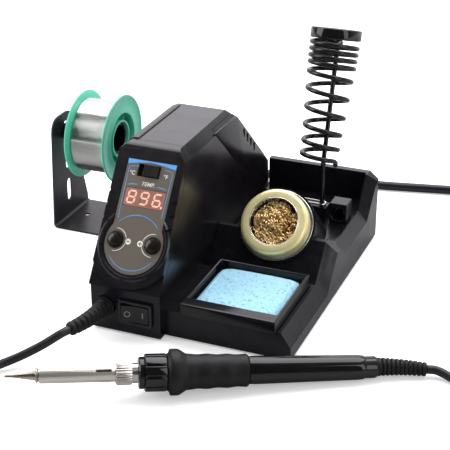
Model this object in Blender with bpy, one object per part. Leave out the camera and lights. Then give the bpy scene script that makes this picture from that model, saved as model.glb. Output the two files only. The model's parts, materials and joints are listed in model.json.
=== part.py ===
"""A digital soldering station with its stand, wire-wool cleaner, sponge, solder spool and iron.

Sizes are in metres and +Z is up. The pieces are placed from the front right corner of the base,
with +X to the right along the front and +Y to the back, and STATION_AT puts that corner in the
part's own frame, whose origin lies on the floor under the middle of everything but the cords.
"""

import math

import bmesh
import bpy
import numpy as np
from mathutils import Matrix, Vector
from mathutils.bvhtree import BVHTree

# Fits
GAP = 0.0003  # between pieces that touch
RUN = 0.0004  # round a piece that slides or turns
PAST = 0.002  # how far a cutter runs past the face that it opens

# Where the front right corner of the base lies
STATION_AT = (0.067729, -0.054016, 0.0)

# Base
BASE_WIDTH = 0.120
BASE_DEPTH = 0.172
BASE_WALL = 0.0025
FOOT_HEIGHT = 0.0015
PLATE_THICKNESS = 0.0018
BLOCK_WIDTH = 0.0435  # the part of the base that carries the housing
BLOCK_FRONT = 0.006  # how far it stands out in front
BLOCK_HEIGHT = 0.030
DECK_HEIGHT = 0.018
RAMP_FOOT = 0.060
RAMP_TOP = 0.038
RAMP_ANGLE = math.radians(48)
RAMP_LIP = 0.003
SHELF_HEIGHT = 0.027
BACK_WALL = 0.0045
BACK_HEIGHT = 0.047
BACK_LEAN = 0.003
RAMP_INSET = 0.0025  # between the housing and the ramp
RIM_WIDTH = 0.006  # the drawn-in band along the right side
RIM_DROP = 0.009
BOSS_RADIUS = 0.0035
SCREW_RADIUS = 0.0013
SCREW_HEAD_RADIUS = 0.0026
SCREW_HEAD_HEIGHT = 0.0011

# Sponge tray
TRAY_FROM_BLOCK = 0.011
TRAY_DEPTH = 0.054
TRAY_HEIGHT = 0.018
TRAY_FROM_SIDE = 0.0085
TRAY_FROM_FRONT = 0.0032
TRAY_WALL = 0.0018
TRAY_STAND = 0.008  # how far its rim stands above the deck
LIP_REACH = 0.0035
SPONGE_HEIGHT = 0.012
SPONGE_GAP = 0.0012

# Wire-wool cleaner
CLEANER_X = 0.0377  # from the right side
CLEANER_ALONG = 0.0316  # along the ramp from its foot
CUP_RADIUS = 0.0195
CUP_DEPTH = 0.024
CUP_WALL = 0.0009
SEAT_WALL = 0.0044
SEAT_RISE = 0.0012
SEAT_BACK = 0.117  # the upright back of the seat's body
LID_RADIUS = 0.0210
LID_HEIGHT = 0.0075
LID_BEAD = 0.0012
LID_OPENING = 0.0148
WOOL_CROWN = 0.004

# Iron holder
WIRE_RADIUS = 0.0015
HOLDER_X = 0.026
HOLDER_FROM_BACK = 0.040
HOLDER_LEAN = math.radians(16.5)
STEM_BEND_HEIGHT = 0.064
STEM_IN_SOCKET = 0.007
COIL_BOTTOM = 0.0037  # along the leaning stem from its bend
COIL_RADIUS_LOW = 0.0110
COIL_RADIUS_TOP = 0.0142
COIL_TURNS = 9.6
OPEN_PITCH = 0.0115
TIGHT_PITCH = 0.0040
WIDENING = 3.4  # turns over which the coil opens out from its lower end
CLOSING = (4.4, 6.6)  # the turns between which it closes up
STEM_INSIDE = 0.0064  # from the coil's axis back to the stem
COIL_SET_LEFT = 0.0015  # how far the coil's lower end lies left of the stem
CURL_POINTS = 10
COLLAR_HEIGHT = 0.0065
COLLAR_WALL = 0.0036
SOCKET_HEIGHT = 0.009
SOCKET_DEPTH = 0.009
SOCKET_WIDTH = 0.018
SPARE_X = 0.0138
SPARE_SIZE = 0.0115
SPARE_BORE = 0.0046

# Control housing
HOUSING_WIDTH = 0.045
HOUSING_HEIGHT = 0.100
HOUSING_WALL = 0.0022
FRONT_LEAN = math.radians(36)
FRONT_TOP_Y = 0.0397  # where the front plane meets the roof
FRONT_ROUND = 0.0073
ROOF_BACK_Y = 0.110
REAR_LEAN = math.radians(43.5)  # of the back slope, from level
REAR_END_Y = 0.168
LEFT_SHOULDER = (0.0044, 0.0032)  # its width and drop
RIGHT_BEVEL = (0.0056, 0.0058)
RIGHT_DRAFT = 0.003
CHEEK_WIDTH = 0.0046
BEZEL_THICKNESS = 0.005
REAR_COVER_DEPTH = 0.021
ROOF_THICKNESS = 0.0028
VENT_WIDTH = 0.0022
VENT_STEP = 0.0085
VENT_COUNT = 4

# Panel, measured down the front from the roof's edge line
PANEL_TOP = 0.0090
PANEL_HALF = 0.0152
DIAL_FROM_FLOOR = 0.0288  # up the front from the block's top
DIAL_RADIUS = 0.0180
PANEL_RECESS = 0.0011
OVERLAY_THICKNESS = 0.0008
RING_INNER = 0.0192
RING_OUTER = 0.0222
RING_HEIGHT = 0.0009
NOSE_RADIUS = 0.0262
NOSE_STEP = 0.002
WINDOW = (0.0248, 0.0104)
WINDOW_CENTRE = 0.0311
SLOT = (0.0140, 0.0074)
SLOT_CENTRE = 0.0150
SLOT_SHIFT = -0.0011  # its middle, from the panel's middle
KNOB_SHIFT = 0.0017  # the knob's middle at rest, from the slot's middle
KNOB_WIDTH = 0.0094
KNOB_HEIGHT = 0.0016
BUTTON_APART = 0.0233
BUTTON_ABOVE = 0.0008  # the buttons' line, above the dial's centre
BUTTON_RADIUS = 0.0047
BUTTON_PROUD = 0.0026
BUTTON_TRAVEL = 0.0010
BOARD_BACK = 0.0112
BOARD_TOP = 0.0120  # the display board's upper edge, down the front
BOARD_BELOW = 0.0153  # how far it reaches below the dial's centre
DISPLAY_BOARD_WIDTH = 0.034
BOARD_THICKNESS = 0.0016
SWITCH_HEIGHT = 0.0032

# Power switch, in the block's front
ROCKER_FROM_LEFT = 0.0285
ROCKER_Z = 0.0158
ROCKER_FRAME = (0.021, 0.0150)
ROCKER_SIZE = (0.0166, 0.0108)
ROCKER_TILT = math.radians(7)
ROCKER_RADIUS = 0.0105

# Control board, in the bay under the housing
BOARD_Z = 0.0080
BOARD_FRONT = 0.034
BOARD_FROM_BACK = 0.069  # its back edge, from the base's back

# Solder holder
BRACKET_OUT = 0.085  # the inner face of its upright, from the base's left side
BRACKET_FROM_BACK = 0.069  # its front edge, from the base's back
BRACKET_DEPTH = 0.048
BRACKET_HEIGHT = 0.076
BRACKET_THICKNESS = 0.0012
BRACKET_BEND = 0.003
BRACKET_TONGUE = 0.030  # how far its foot reaches under the base
SLOT_WIDTH = 0.006
SLOT_LOW = 0.012  # the lower slot's bottom
SLOT_GAP = 0.0075  # between the two slots
UPPER_SLOT = 0.0345  # its length
SLOT_TOP = 0.006  # from the upper slot to the bracket's top
SPOOL_FROM_TOP = 0.013
SPOOL_FROM_FRONT = 0.0225  # from the bracket's front edge
SPOOL_OUT = 0.071  # the spool's left end, from the base's left side
SPOOL_WIDTH = 0.0283
FLANGE_RADIUS = 0.0294
FLANGE_THICKNESS = 0.0017
DRUM_RADIUS = 0.0190
HUB_RADIUS = 0.0124
HUB_WALL = 0.0012
SOLDER_RADIUS = 0.0006
SOLDER_TURNS = 12
SOLDER_LAYER = 0.0242  # the outside of the wound solder
WINDING_POINTS = 12

# Iron, measured from the tip along its length
IRON_GRIP_AT = (-0.0471, -0.0497)  # where the grip's flare touches the floor
IRON_HEADING = math.radians(29.9)
IRON_PITCH = math.radians(3.3)
IRON_FLARE = 0.0899
TIP_CONE = 0.0167
TIP_RADIUS = 0.0040
BARREL_END = 0.0580
BARREL_RADIUS = 0.0044
BARREL_WALL = 0.0007
NUT_END = 0.0664
NUT_RADIUS = 0.0062
COLLAR_END = 0.0695
SLEEVE_END = 0.0847
SLEEVE_RADIUS = 0.0101
FLUTE_DEPTH = 0.0007
FLARE_RADIUS = 0.0124
GRIP_END = 0.1287
GRIP_RADIUS = 0.0093
HANDLE_END = 0.1992
HANDLE_RADIUS = 0.0074
RELIEF_LENGTH = 0.0275
RELIEF_RADIUS = 0.0051
RELIEF_RIBS = 11

# Cords
IRON_CORD_RADIUS = 0.0025
MAINS_CORD_RADIUS = 0.0031
OUTLET_FROM_LEFT = 0.0090  # the iron cord's outlet in the block's front
OUTLET_HEIGHT = 0.0165
INLET_FROM_LEFT = 0.0230  # the mains cord's inlet in the back
INLET_HEIGHT = 0.0150
INLET_LENGTH = 0.030
OUTLET_RIBS = 9
INLET_RIBS = 8
FLOOR_GAP = 0.0002
COIL_GAP = 0.0008
LOOP_POINTS = 16
IRON_COIL = (0.020, -0.152)
IRON_COIL_RADIUS = 0.0275
IRON_COIL_TURNS = 4.25
MAINS_COIL = (0.0986, 0.2299)
MAINS_COIL_RADIUS = 0.034
MAINS_COIL_TURNS = 5.25
TAIL_LENGTH = 0.045
PLUG_HALF = 0.0132
PLUG_BLADES = 0.0127

# Worked out
BLOCK_RIGHT = -(BASE_WIDTH - BLOCK_WIDTH)
HOUSING_LEFT = -BASE_WIDTH
HOUSING_RIGHT = HOUSING_LEFT + HOUSING_WIDTH
HOUSING_MIDDLE = (HOUSING_LEFT + HOUSING_RIGHT) / 2
HOUSING_FLOOR = BLOCK_HEIGHT + GAP
TRAY_WIDTH = BASE_WIDTH - BLOCK_WIDTH - TRAY_FROM_SIDE - TRAY_FROM_BLOCK
ROCKER_X = BASE_WIDTH - ROCKER_FROM_LEFT
OUTLET = (BASE_WIDTH - OUTLET_FROM_LEFT, OUTLET_HEIGHT)
INLET = (BASE_WIDTH - INLET_FROM_LEFT, INLET_HEIGHT)
HOLDER_Y = BASE_DEPTH - HOLDER_FROM_BACK
BOARD_SPAN = (BOARD_FRONT, BASE_DEPTH - BOARD_FROM_BACK)
BRACKET_X = BASE_WIDTH + BRACKET_OUT
BRACKET_FRONT = BASE_DEPTH - BRACKET_FROM_BACK
SPOOL_LEFT = BASE_WIDTH + SPOOL_OUT
SPOOL_Y = BRACKET_FRONT + SPOOL_FROM_FRONT
SPOOL_Z = BRACKET_HEIGHT - SPOOL_FROM_TOP
FRONT_LENGTH = (HOUSING_HEIGHT - BLOCK_HEIGHT) / math.cos(FRONT_LEAN)
DIAL_CENTRE = FRONT_LENGTH - DIAL_FROM_FLOOR
BUTTON_CENTRE = DIAL_CENTRE - BUTTON_ABOVE
RAMP_LEFT = HOUSING_RIGHT + RAMP_INSET
RAMP_TOP_Y = RAMP_FOOT + (RAMP_TOP - DECK_HEIGHT) / math.tan(RAMP_ANGLE)
PLATE_TOP = FOOT_HEIGHT + PLATE_THICKNESS
TRAY_BOTTOM = DECK_HEIGHT + TRAY_STAND - TRAY_HEIGHT
REAR_END_Z = HOUSING_HEIGHT - (REAR_END_Y - ROOF_BACK_Y) * math.tan(REAR_LEAN)


# ---------------------------------------------------------------- making meshes


def clear_scene():
    """Removes whatever the scene holds."""
    for thing in list(bpy.data.objects):
        bpy.data.objects.remove(thing, do_unlink=True)


def finish(name, colour, roughness, metallic=0.0):
    """A Principled material, made once for each name."""
    if name in bpy.data.materials:
        return bpy.data.materials[name]
    made = bpy.data.materials.new(name)
    made.use_nodes = True
    made.diffuse_color = (*colour, 1.0)
    shader = made.node_tree.nodes["Principled BSDF"]
    shader.inputs["Base Color"].default_value = (*colour, 1.0)
    shader.inputs["Roughness"].default_value = roughness
    shader.inputs["Metallic"].default_value = metallic
    return made


def black_plastic():
    return finish("black_plastic", (0.018, 0.018, 0.020), 0.38)


def gloss_black():
    return finish("gloss_black", (0.012, 0.012, 0.013), 0.16)


def soft_rubber():
    return finish("soft_rubber", (0.020, 0.020, 0.021), 0.62)


def steel():
    return finish("steel", (0.62, 0.60, 0.57), 0.28, 1.0)


def gold():
    return finish("gold_plate", (0.78, 0.66, 0.36), 0.30, 1.0)


def board_green():
    return finish("board_green", (0.02, 0.16, 0.06), 0.45)


def closed(mesh):
    """The mesh with its loose points merged and its faces pointing out."""
    bmesh.ops.remove_doubles(mesh, verts=mesh.verts, dist=1e-7)
    bmesh.ops.recalc_face_normals(mesh, faces=mesh.faces)
    return mesh


def loft(*loops):
    """A closed solid through loops of equal count, capped at both ends."""
    mesh = bmesh.new()
    rows = [[mesh.verts.new(point) for point in loop] for loop in loops]
    count = len(rows[0])
    for low, high in zip(rows, rows[1:]):
        for i in range(count):
            j = (i + 1) % count
            mesh.faces.new((low[i], low[j], high[j], high[i]))
    mesh.faces.new(list(reversed(rows[0])))
    mesh.faces.new(rows[-1])
    return closed(mesh)


def prism(outline, low, high, axis="Z"):
    """An outline drawn across one axis and extruded along it from low to high."""
    place = {
        "X": lambda a, b, h: (h, a, b),
        "Y": lambda a, b, h: (a, h, b),
        "Z": lambda a, b, h: (a, b, h),
    }[axis]
    return loft(*([place(a, b, h) for a, b in outline] for h in (low, high)))


def block(x, y, z):
    """A box between two values on each axis."""
    return prism([(x[0], y[0]), (x[1], y[0]), (x[1], y[1]), (x[0], y[1])], z[0], z[1])


def turned(profile, steps=24):
    """A solid turned about Z from (radius, height) points.

    A profile that starts and ends on the axis gives a solid body, and one that stays off it
    is joined end to end, which gives a ring.
    """
    mesh = bmesh.new()
    rows = []
    for radius, height in profile:
        if radius < 1e-9:
            rows.append([mesh.verts.new((0, 0, height))] * steps)
            continue
        angles = (2 * math.pi * i / steps for i in range(steps))
        rows.append([mesh.verts.new((radius * math.cos(a), radius * math.sin(a), height)) for a in angles])
    on_axis = profile[0][0] < 1e-9 and profile[-1][0] < 1e-9
    pairs = list(zip(rows, rows[1:])) + ([] if on_axis else [(rows[-1], rows[0])])
    for low, high in pairs:
        for i in range(steps):
            j = (i + 1) % steps
            corners = dict.fromkeys((low[i], low[j], high[j], high[i]))
            if len(corners) > 2:
                mesh.faces.new(list(corners))
    return closed(mesh)


def moved(mesh, by=(0, 0, 0), turn=None):
    """The mesh turned by a matrix and then moved."""
    matrix = Matrix.Translation(Vector(by)) @ (turn or Matrix.Identity(4))
    bmesh.ops.transform(mesh, matrix=matrix, verts=mesh.verts)
    return mesh


def arc(centre, radius, start, end, steps):
    """Points on an arc, with its angles in degrees."""
    angles = (math.radians(start + (end - start) * i / steps) for i in range(steps + 1))
    return [(centre[0] + radius * math.cos(a), centre[1] + radius * math.sin(a)) for a in angles]


def rounded(width, height, radius, steps=3, centre=(0, 0)):
    """A rectangle with round corners, about a centre."""
    x, y = width / 2 - radius, height / 2 - radius
    corners = [(x, y, 0), (-x, y, 90), (-x, -y, 180), (x, -y, 270)]
    points = []
    for a, b, start in corners:
        points += arc((centre[0] + a, centre[1] + b), radius, start, start + 90, steps)
    return points


def slot_outline(width, length, centre, steps=6):
    """An upright slot with round ends, as (across, up) points."""
    radius, half = width / 2, (length - width) / 2
    return arc((centre[0], centre[1] + half), radius, 0, 180, steps) + arc(
        (centre[0], centre[1] - half), radius, 180, 360, steps
    )


def place(name, mesh, material, at=(0, 0, 0), turn=(0, 0, 0), parent=None, smooth=True):
    """A named object of the station, from a mesh that it uses up."""
    data = bpy.data.meshes.new(name)
    mesh.to_mesh(data)
    mesh.free()
    if smooth:
        data.shade_smooth()
        data.set_sharp_from_angle(angle=math.radians(32))
    thing = bpy.data.objects.new(name, data)
    bpy.context.scene.collection.objects.link(thing)
    thing.location, thing.rotation_euler = at, turn
    thing.parent = parent or bpy.data.objects["station"]
    if material:
        data.materials.append(material)
    return thing


def tool(target, mesh, operation="DIFFERENCE", parent=None, at=(0, 0, 0), turn=(0, 0, 0)):
    """A Boolean on the target, with a hidden object that holds its other operand."""
    label = f"{target.name}_{operation.lower()}_{len(target.modifiers)}"
    other = place(label, mesh, None, at=at, turn=turn, parent=parent, smooth=False)
    other.hide_render = True
    other.display_type = "WIRE"
    step = target.modifiers.new(operation.title(), "BOOLEAN")
    step.operation = operation
    step.solver = "EXACT"
    step.object = other
    return target


def use(target, other, operation):
    """A Boolean of the target with another shaped piece, which is left out of the part."""
    other.hide_render = True
    other.display_type = "WIRE"
    step = target.modifiers.new(operation.title(), "BOOLEAN")
    step.operation = operation
    step.solver = "EXACT"
    step.object = other


def cut(target, mesh, **where):
    return tool(target, mesh, "DIFFERENCE", **where)


def add(target, mesh, **where):
    return tool(target, mesh, "UNION", **where)


def keep(target, mesh, **where):
    return tool(target, mesh, "INTERSECT", **where)


def chamfer(target, width, segments=1, angle=40):
    """Breaks the sharp edges of a piece, and leaves its shallow facets alone."""
    step = target.modifiers.new("Bevel", "BEVEL")
    step.width = width
    step.segments = segments
    step.limit_method = "ANGLE"
    step.angle_limit = math.radians(angle)
    return target


def guide(name, at, turn=(0, 0, 0), parent=None):
    """An empty that carries the pieces of one leaning or moving part."""
    empty = bpy.data.objects.new(name, None)
    bpy.context.scene.collection.objects.link(empty)
    empty.location, empty.rotation_euler = at, turn
    empty.parent = parent
    return empty


def smooth_route(points, steps, lead=0):
    """A centripetal Catmull-Rom curve through the points, evenly spaced between its two leads."""
    route = [Vector(p) for p in points]
    ends = [2 * route[0] - route[1], *route, 2 * route[-1] - route[-2]]
    dense = []
    for a, b, c, d in zip(ends, ends[1:], ends[2:], ends[3:]):
        t1 = (b - a).length ** 0.5
        t2 = t1 + (c - b).length ** 0.5
        t3 = t2 + (d - c).length ** 0.5
        for i in range(12):
            t = t1 + (t2 - t1) * i / 12
            low = (t1 - t) / t1 * a + t / t1 * b
            mid = (t2 - t) / (t2 - t1) * b + (t - t1) / (t2 - t1) * c
            high = (t3 - t) / (t3 - t2) * c + (t - t2) / (t3 - t2) * d
            first = (t2 - t) / t2 * low + t / t2 * mid
            second = (t3 - t) / (t3 - t1) * mid + (t - t1) / (t3 - t1) * high
            dense.append((t2 - t) / (t2 - t1) * first + (t - t1) / (t2 - t1) * second)
    line = np.array([*dense, route[-1]])
    along = np.concatenate([[0], np.cumsum(np.linalg.norm(np.diff(line, axis=0), axis=1))])
    at = np.linspace(0, along[-1], steps)
    if lead:
        at = np.concatenate([[0], np.linspace(lead, along[-1] - lead, steps - 2), [along[-1]]])
    return np.stack([np.interp(at, along, line[:, k]) for k in range(3)], axis=1)


def tube(name, points, radius, material, resolution=2, radii=None, parent=None):
    """A tube with filled ends along the points; radii scale it point by point."""
    data = bpy.data.curves.new(name, "CURVE")
    data.dimensions = "3D"
    data.bevel_depth = radius
    data.bevel_resolution = resolution
    data.use_fill_caps = True
    line = data.splines.new("POLY")
    line.points.add(len(points) - 1)
    for i, point in enumerate(points):
        line.points[i].co = (*point, 1.0)
        line.points[i].radius = radii[i] if radii else 1.0
    data.materials.append(material)
    thing = bpy.data.objects.new(name, data)
    bpy.context.scene.collection.objects.link(thing)
    thing.parent = parent or bpy.data.objects["station"]
    return thing


def least_gap(label, points, radius):
    """Prints how near a wound tube comes to itself, measured between points a diameter or more apart."""
    line = np.array(points, float)
    fine = np.concatenate([line[:-1] + (line[1:] - line[:-1]) * t for t in (0, 0.25, 0.5, 0.75)])
    order = np.argsort(np.concatenate([np.arange(len(line) - 1) + t for t in (0, 0.25, 0.5, 0.75)]))
    fine = fine[order]
    along = np.concatenate([[0], np.cumsum(np.linalg.norm(np.diff(fine, axis=0), axis=1))])
    best = math.inf
    for i, point in enumerate(fine):
        far = along - along[i] > 3 * math.pi * radius
        if far.any():
            best = min(best, float(np.linalg.norm(fine[far] - point, axis=1).min()))
    print(f"{label}: least gap to itself {1000 * (best - 2 * radius):.2f} mm")


# ---------------------------------------------------------------- base


def ramp_profile():
    """The side outline of the deck, ramp and shelf, as (back, up) points."""
    return [
        (0, FOOT_HEIGHT),
        (0, DECK_HEIGHT),
        (RAMP_FOOT, DECK_HEIGHT),
        (RAMP_TOP_Y, RAMP_TOP),
        (RAMP_TOP_Y + RAMP_LIP, RAMP_TOP),
        (RAMP_TOP_Y + RAMP_LIP, SHELF_HEIGHT),
        (BASE_DEPTH, SHELF_HEIGHT),
        (BASE_DEPTH, FOOT_HEIGHT),
    ]


def rim_loops():
    """The inner and outer outlines of the drawn-in band along the right side."""
    lip_y = RAMP_TOP_Y + RAMP_LIP
    wall_y = BASE_DEPTH - BACK_WALL
    inner = [
        (0, FOOT_HEIGHT),
        (0, DECK_HEIGHT),
        (RAMP_FOOT, DECK_HEIGHT),
        (RAMP_TOP_Y, RAMP_TOP),
        (lip_y + 0.004, RAMP_TOP - 0.001),
        (lip_y + 0.018, SHELF_HEIGHT + 0.0012),
        (BASE_DEPTH - 0.024, SHELF_HEIGHT + 0.0012),
        (wall_y - BACK_LEAN, BACK_HEIGHT),
        (BASE_DEPTH, BACK_HEIGHT),
        (BASE_DEPTH, FOOT_HEIGHT),
    ]
    shift = [
        (0, 0),
        (0, -RIM_DROP),
        (0.006, -RIM_DROP),
        (0.006, -RIM_DROP),
        (0.004, -RIM_DROP),
        (0, -RIM_DROP + 0.002),
        (0, -RIM_DROP + 0.002),
        (0.004, -RIM_DROP + 0.004),
        (0, -RIM_DROP + 0.004),
        (0, 0),
    ]
    outer = [(y + a, z + b) for (y, z), (a, b) in zip(inner, shift)]
    return (
        [(-RIM_WIDTH - PAST / 2, y, z) for y, z in inner],
        [(-RIM_WIDTH, y, z) for y, z in inner],
        [(0, y, z) for y, z in outer],
    )


def cleaner_frame():
    """Where the cleaner's axis meets the ramp, and the turn of that axis."""
    along = Vector((0, math.cos(RAMP_ANGLE), math.sin(RAMP_ANGLE))) * CLEANER_ALONG
    return Vector((-CLEANER_X, RAMP_FOOT, DECK_HEIGHT)) + along, (RAMP_ANGLE, 0, 0)


def screw_places():
    """Where the base's screws stand: two of its own, and two that hold the bracket's foot too."""
    side, front, back = 0.009, 0.006, BASE_DEPTH - 0.009
    own = {"front_left": (-BASE_WIDTH + side, front), "back_right": (-side, back)}
    x = -BASE_WIDTH + BRACKET_TONGUE / 2
    middle, apart = BRACKET_FRONT + BRACKET_DEPTH / 2, 0.016
    shared = {"front": (x, middle - apart), "back": (x, middle + apart)}
    return own, shared


def base_shell():
    """The moulded base, hollow from below, with the tray's well and the cleaner's seat."""
    shell = place("base_shell", prism(ramp_profile(), BLOCK_RIGHT - PAST, -RIM_WIDTH, "X"), black_plastic())
    block_size = ((-BASE_WIDTH, BLOCK_RIGHT), (-BLOCK_FRONT, BASE_DEPTH), (FOOT_HEIGHT, BLOCK_HEIGHT))
    add(shell, block(*block_size))
    add(shell, loft(*rim_loops()))
    back = block(
        (HOUSING_RIGHT + GAP, -RIM_WIDTH - PAST / 2),
        (BASE_DEPTH - BACK_WALL, BASE_DEPTH),
        (SHELF_HEIGHT - PAST, BACK_HEIGHT),
    )
    add(shell, back)
    at, turn = cleaner_frame()
    outer = CUP_RADIUS + SEAT_WALL
    seat = place(
        "base_seat",
        turned([(0, -0.060), (outer, -0.060), (outer, SEAT_RISE), (0, SEAT_RISE)], 32),
        None,
        at=at,
        turn=turn,
    )
    far, high = BASE_DEPTH + BACK_HEIGHT, HOUSING_HEIGHT
    cut(seat, block((-BASE_WIDTH, TRAY_WIDTH), (SEAT_BACK, far), (-high, high)))
    cut(seat, block((-BASE_WIDTH, TRAY_WIDTH), (0, far), (-high, SHELF_HEIGHT - 2 * BASE_WALL / 3)))
    use(shell, seat, "UNION")
    socket = block(
        (-HOLDER_X - SOCKET_WIDTH + 0.004, -HOLDER_X + 0.004),
        (HOLDER_Y - SOCKET_DEPTH / 2, HOLDER_Y + SOCKET_DEPTH / 2),
        (SHELF_HEIGHT - PAST, SHELF_HEIGHT + SOCKET_HEIGHT),
    )
    add(shell, socket)
    hollow_base(shell)
    own, shared = screw_places()
    low, hole, deep = PLATE_TOP + 2 * GAP, SCREW_RADIUS + RUN / 2, 0.0140
    for x, y in [*own.values(), *shared.values()]:
        roof = BLOCK_HEIGHT if x < BLOCK_RIGHT else SHELF_HEIGHT
        top = roof - BASE_WALL / 2
        add(
            shell,
            turned(
                [(0, deep), (hole, deep), (hole, low), (BOSS_RADIUS, low), (BOSS_RADIUS, top), (0, top)],
                12,
            ),
            at=(x, y, 0),
        )
    bore, deep = CUP_RADIUS + RUN, -CUP_DEPTH - 0.001
    cut(shell, turned([(0, deep), (bore, deep), (bore, 0.020), (0, 0.020)], 32), at=at, turn=turn)
    return shell


def hollow_base(shell):
    """Takes the inside out of the base: the plate's seat, the two bays, the well and the bores."""
    wall = BASE_WALL
    inside = plate_outline(0)
    cut(shell, prism(inside, -PAST, PLATE_TOP + GAP))
    top = BLOCK_HEIGHT - wall
    left_bay = ((-BASE_WIDTH + wall, BLOCK_RIGHT - wall), (-BLOCK_FRONT + wall, BASE_DEPTH - wall), (0, top))
    cut(shell, block(*left_bay))
    cut(
        shell,
        block(
            (-BASE_WIDTH - PAST, HOUSING_RIGHT + GAP),
            (-BLOCK_FRONT - PAST, BASE_DEPTH + PAST),
            (BLOCK_HEIGHT, 0.06),
        ),
    )
    passage = ((-BASE_WIDTH + 0.010, BLOCK_RIGHT - 0.008), (0.045, 0.095), (top - PAST, BLOCK_HEIGHT + PAST))
    cut(shell, block(*passage))
    bay_floor = SHELF_HEIGHT - wall
    bay = [
        (RAMP_FOOT + 2 * wall, 0),
        (RAMP_FOOT + 2 * wall, DECK_HEIGHT - wall),
        (RAMP_TOP_Y, bay_floor),
        (BASE_DEPTH - wall, bay_floor),
        (BASE_DEPTH - wall, 0),
    ]
    cut(shell, prism(bay, BLOCK_RIGHT, -RIM_WIDTH - wall / 2, "X"))
    under_well = ((BLOCK_RIGHT, -wall), (wall, RAMP_FOOT + wall), (0, TRAY_BOTTOM - wall))
    cut(shell, block(*under_well))
    well = (
        (-TRAY_FROM_SIDE - TRAY_WIDTH - RUN, -TRAY_FROM_SIDE + RUN),
        (TRAY_FROM_FRONT - RUN, TRAY_FROM_FRONT + TRAY_DEPTH + RUN),
        (TRAY_BOTTOM - GAP, DECK_HEIGHT + PAST),
    )
    cut(shell, block(*well))
    stem = WIRE_RADIUS + RUN
    top = SHELF_HEIGHT + SOCKET_HEIGHT
    hole = [
        (0, top - STEM_IN_SOCKET - GAP),
        (stem, top - STEM_IN_SOCKET - GAP),
        (stem, top + PAST),
        (0, top + PAST),
    ]
    cut(shell, turned(hole, 16), at=(-HOLDER_X, HOLDER_Y, 0))
    cut(shell, front_opening(), at=(-ROCKER_X, -BLOCK_FRONT, ROCKER_Z))
    for (x, z), y, radius in (
        (OUTLET, -BLOCK_FRONT, IRON_CORD_RADIUS + 0.0016),
        (INLET, BASE_DEPTH, MAINS_CORD_RADIUS + 0.0016),
    ):
        hole = [(0, -0.005), (radius + GAP, -0.005), (radius + GAP, 0.005), (0, 0.005)]
        cut(shell, turned(hole, 16), at=(-x, y, z), turn=(math.pi / 2, 0, 0))


def plate_outline(inset):
    """The base's inner outline from above, drawn in by inset."""
    side = BASE_WALL + inset
    step = BLOCK_RIGHT - side
    return [
        (-BASE_WIDTH + side, -BLOCK_FRONT + side),
        (step, -BLOCK_FRONT + side),
        (step, side),
        (-side, side),
        (-side, BASE_DEPTH - side),
        (-BASE_WIDTH + side, BASE_DEPTH - side),
    ]


def base_plate():
    """The plate that closes the base from below, with posts for the control board."""
    plate = place("base_plate", prism(plate_outline(GAP), FOOT_HEIGHT, PLATE_TOP), black_plastic())
    own, shared = screw_places()
    hole = SCREW_RADIUS + RUN / 2
    sink = SCREW_HEAD_RADIUS + RUN / 2
    deep = FOOT_HEIGHT + SCREW_HEAD_HEIGHT
    for x, y in own.values():
        profile = [(0, 0), (sink, 0), (sink, deep), (hole, deep), (hole, 0.006), (0, 0.006)]
        cut(plate, turned(profile, 12), at=(x, y, 0))
    for x, y in shared.values():
        cut(plate, turned([(0, 0), (hole, 0), (hole, 0.006), (0, 0.006)], 12), at=(x, y, 0))
    for x, y in board_posts():
        add(
            plate,
            turned(
                [
                    (0, FOOT_HEIGHT + PLATE_THICKNESS / 2),
                    (0.003, FOOT_HEIGHT + PLATE_THICKNESS / 2),
                    (0.003, BOARD_Z - GAP),
                    (0, BOARD_Z - GAP),
                ],
                12,
            ),
            at=(x, y, 0),
        )
    return plate


def rubber_feet():
    """Four low pads under the corners."""
    across, along, top = 0.020, 0.012, FOOT_HEIGHT - GAP
    for side, x in (("left", -BASE_WIDTH + across), ("right", -across)):
        for end, y in (("front", along), ("back", BASE_DEPTH - along)):
            pad = turned([(0, 0), (0.0055, 0), (0.006, 0.0005), (0.006, top), (0, top)], 14)
            place(f"foot_{end}_{side}", pad, soft_rubber(), at=(x, y, 0))


def base_screws():
    """The pan screws, sunk in the plate, and the flush ones through the bracket's foot."""
    own, shared = screw_places()
    head, shank, length = SCREW_HEAD_RADIUS, SCREW_RADIUS, 0.012
    low, under = FOOT_HEIGHT, SCREW_HEAD_HEIGHT - GAP
    for name, (x, y) in own.items():
        profile = [(0, 0), (head, 0), (head, under), (shank, under), (shank, length - 0.001), (0, length)]
        place(f"base_screw_{name}", turned(profile, 10), steel(), at=(x, y, low))
    sunk = BRACKET_THICKNESS
    for name, (x, y) in shared.items():
        profile = [
            (0, 0.0001), (head - RUN, 0.0001), (shank, sunk - GAP), (shank, length - 0.001), (0, length)
        ]
        place(f"bracket_screw_{name}", turned(profile, 10), steel(), at=(x, y, 0))


# ---------------------------------------------------------------- sponge tray and cleaner


def tray_box(inset=0.0):
    """The tray's outer box from above, drawn in by inset."""
    left, right = -TRAY_FROM_SIDE - TRAY_WIDTH + inset, -TRAY_FROM_SIDE - inset
    return (left, right), (TRAY_FROM_FRONT + inset, TRAY_FROM_FRONT + TRAY_DEPTH - inset)


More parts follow.
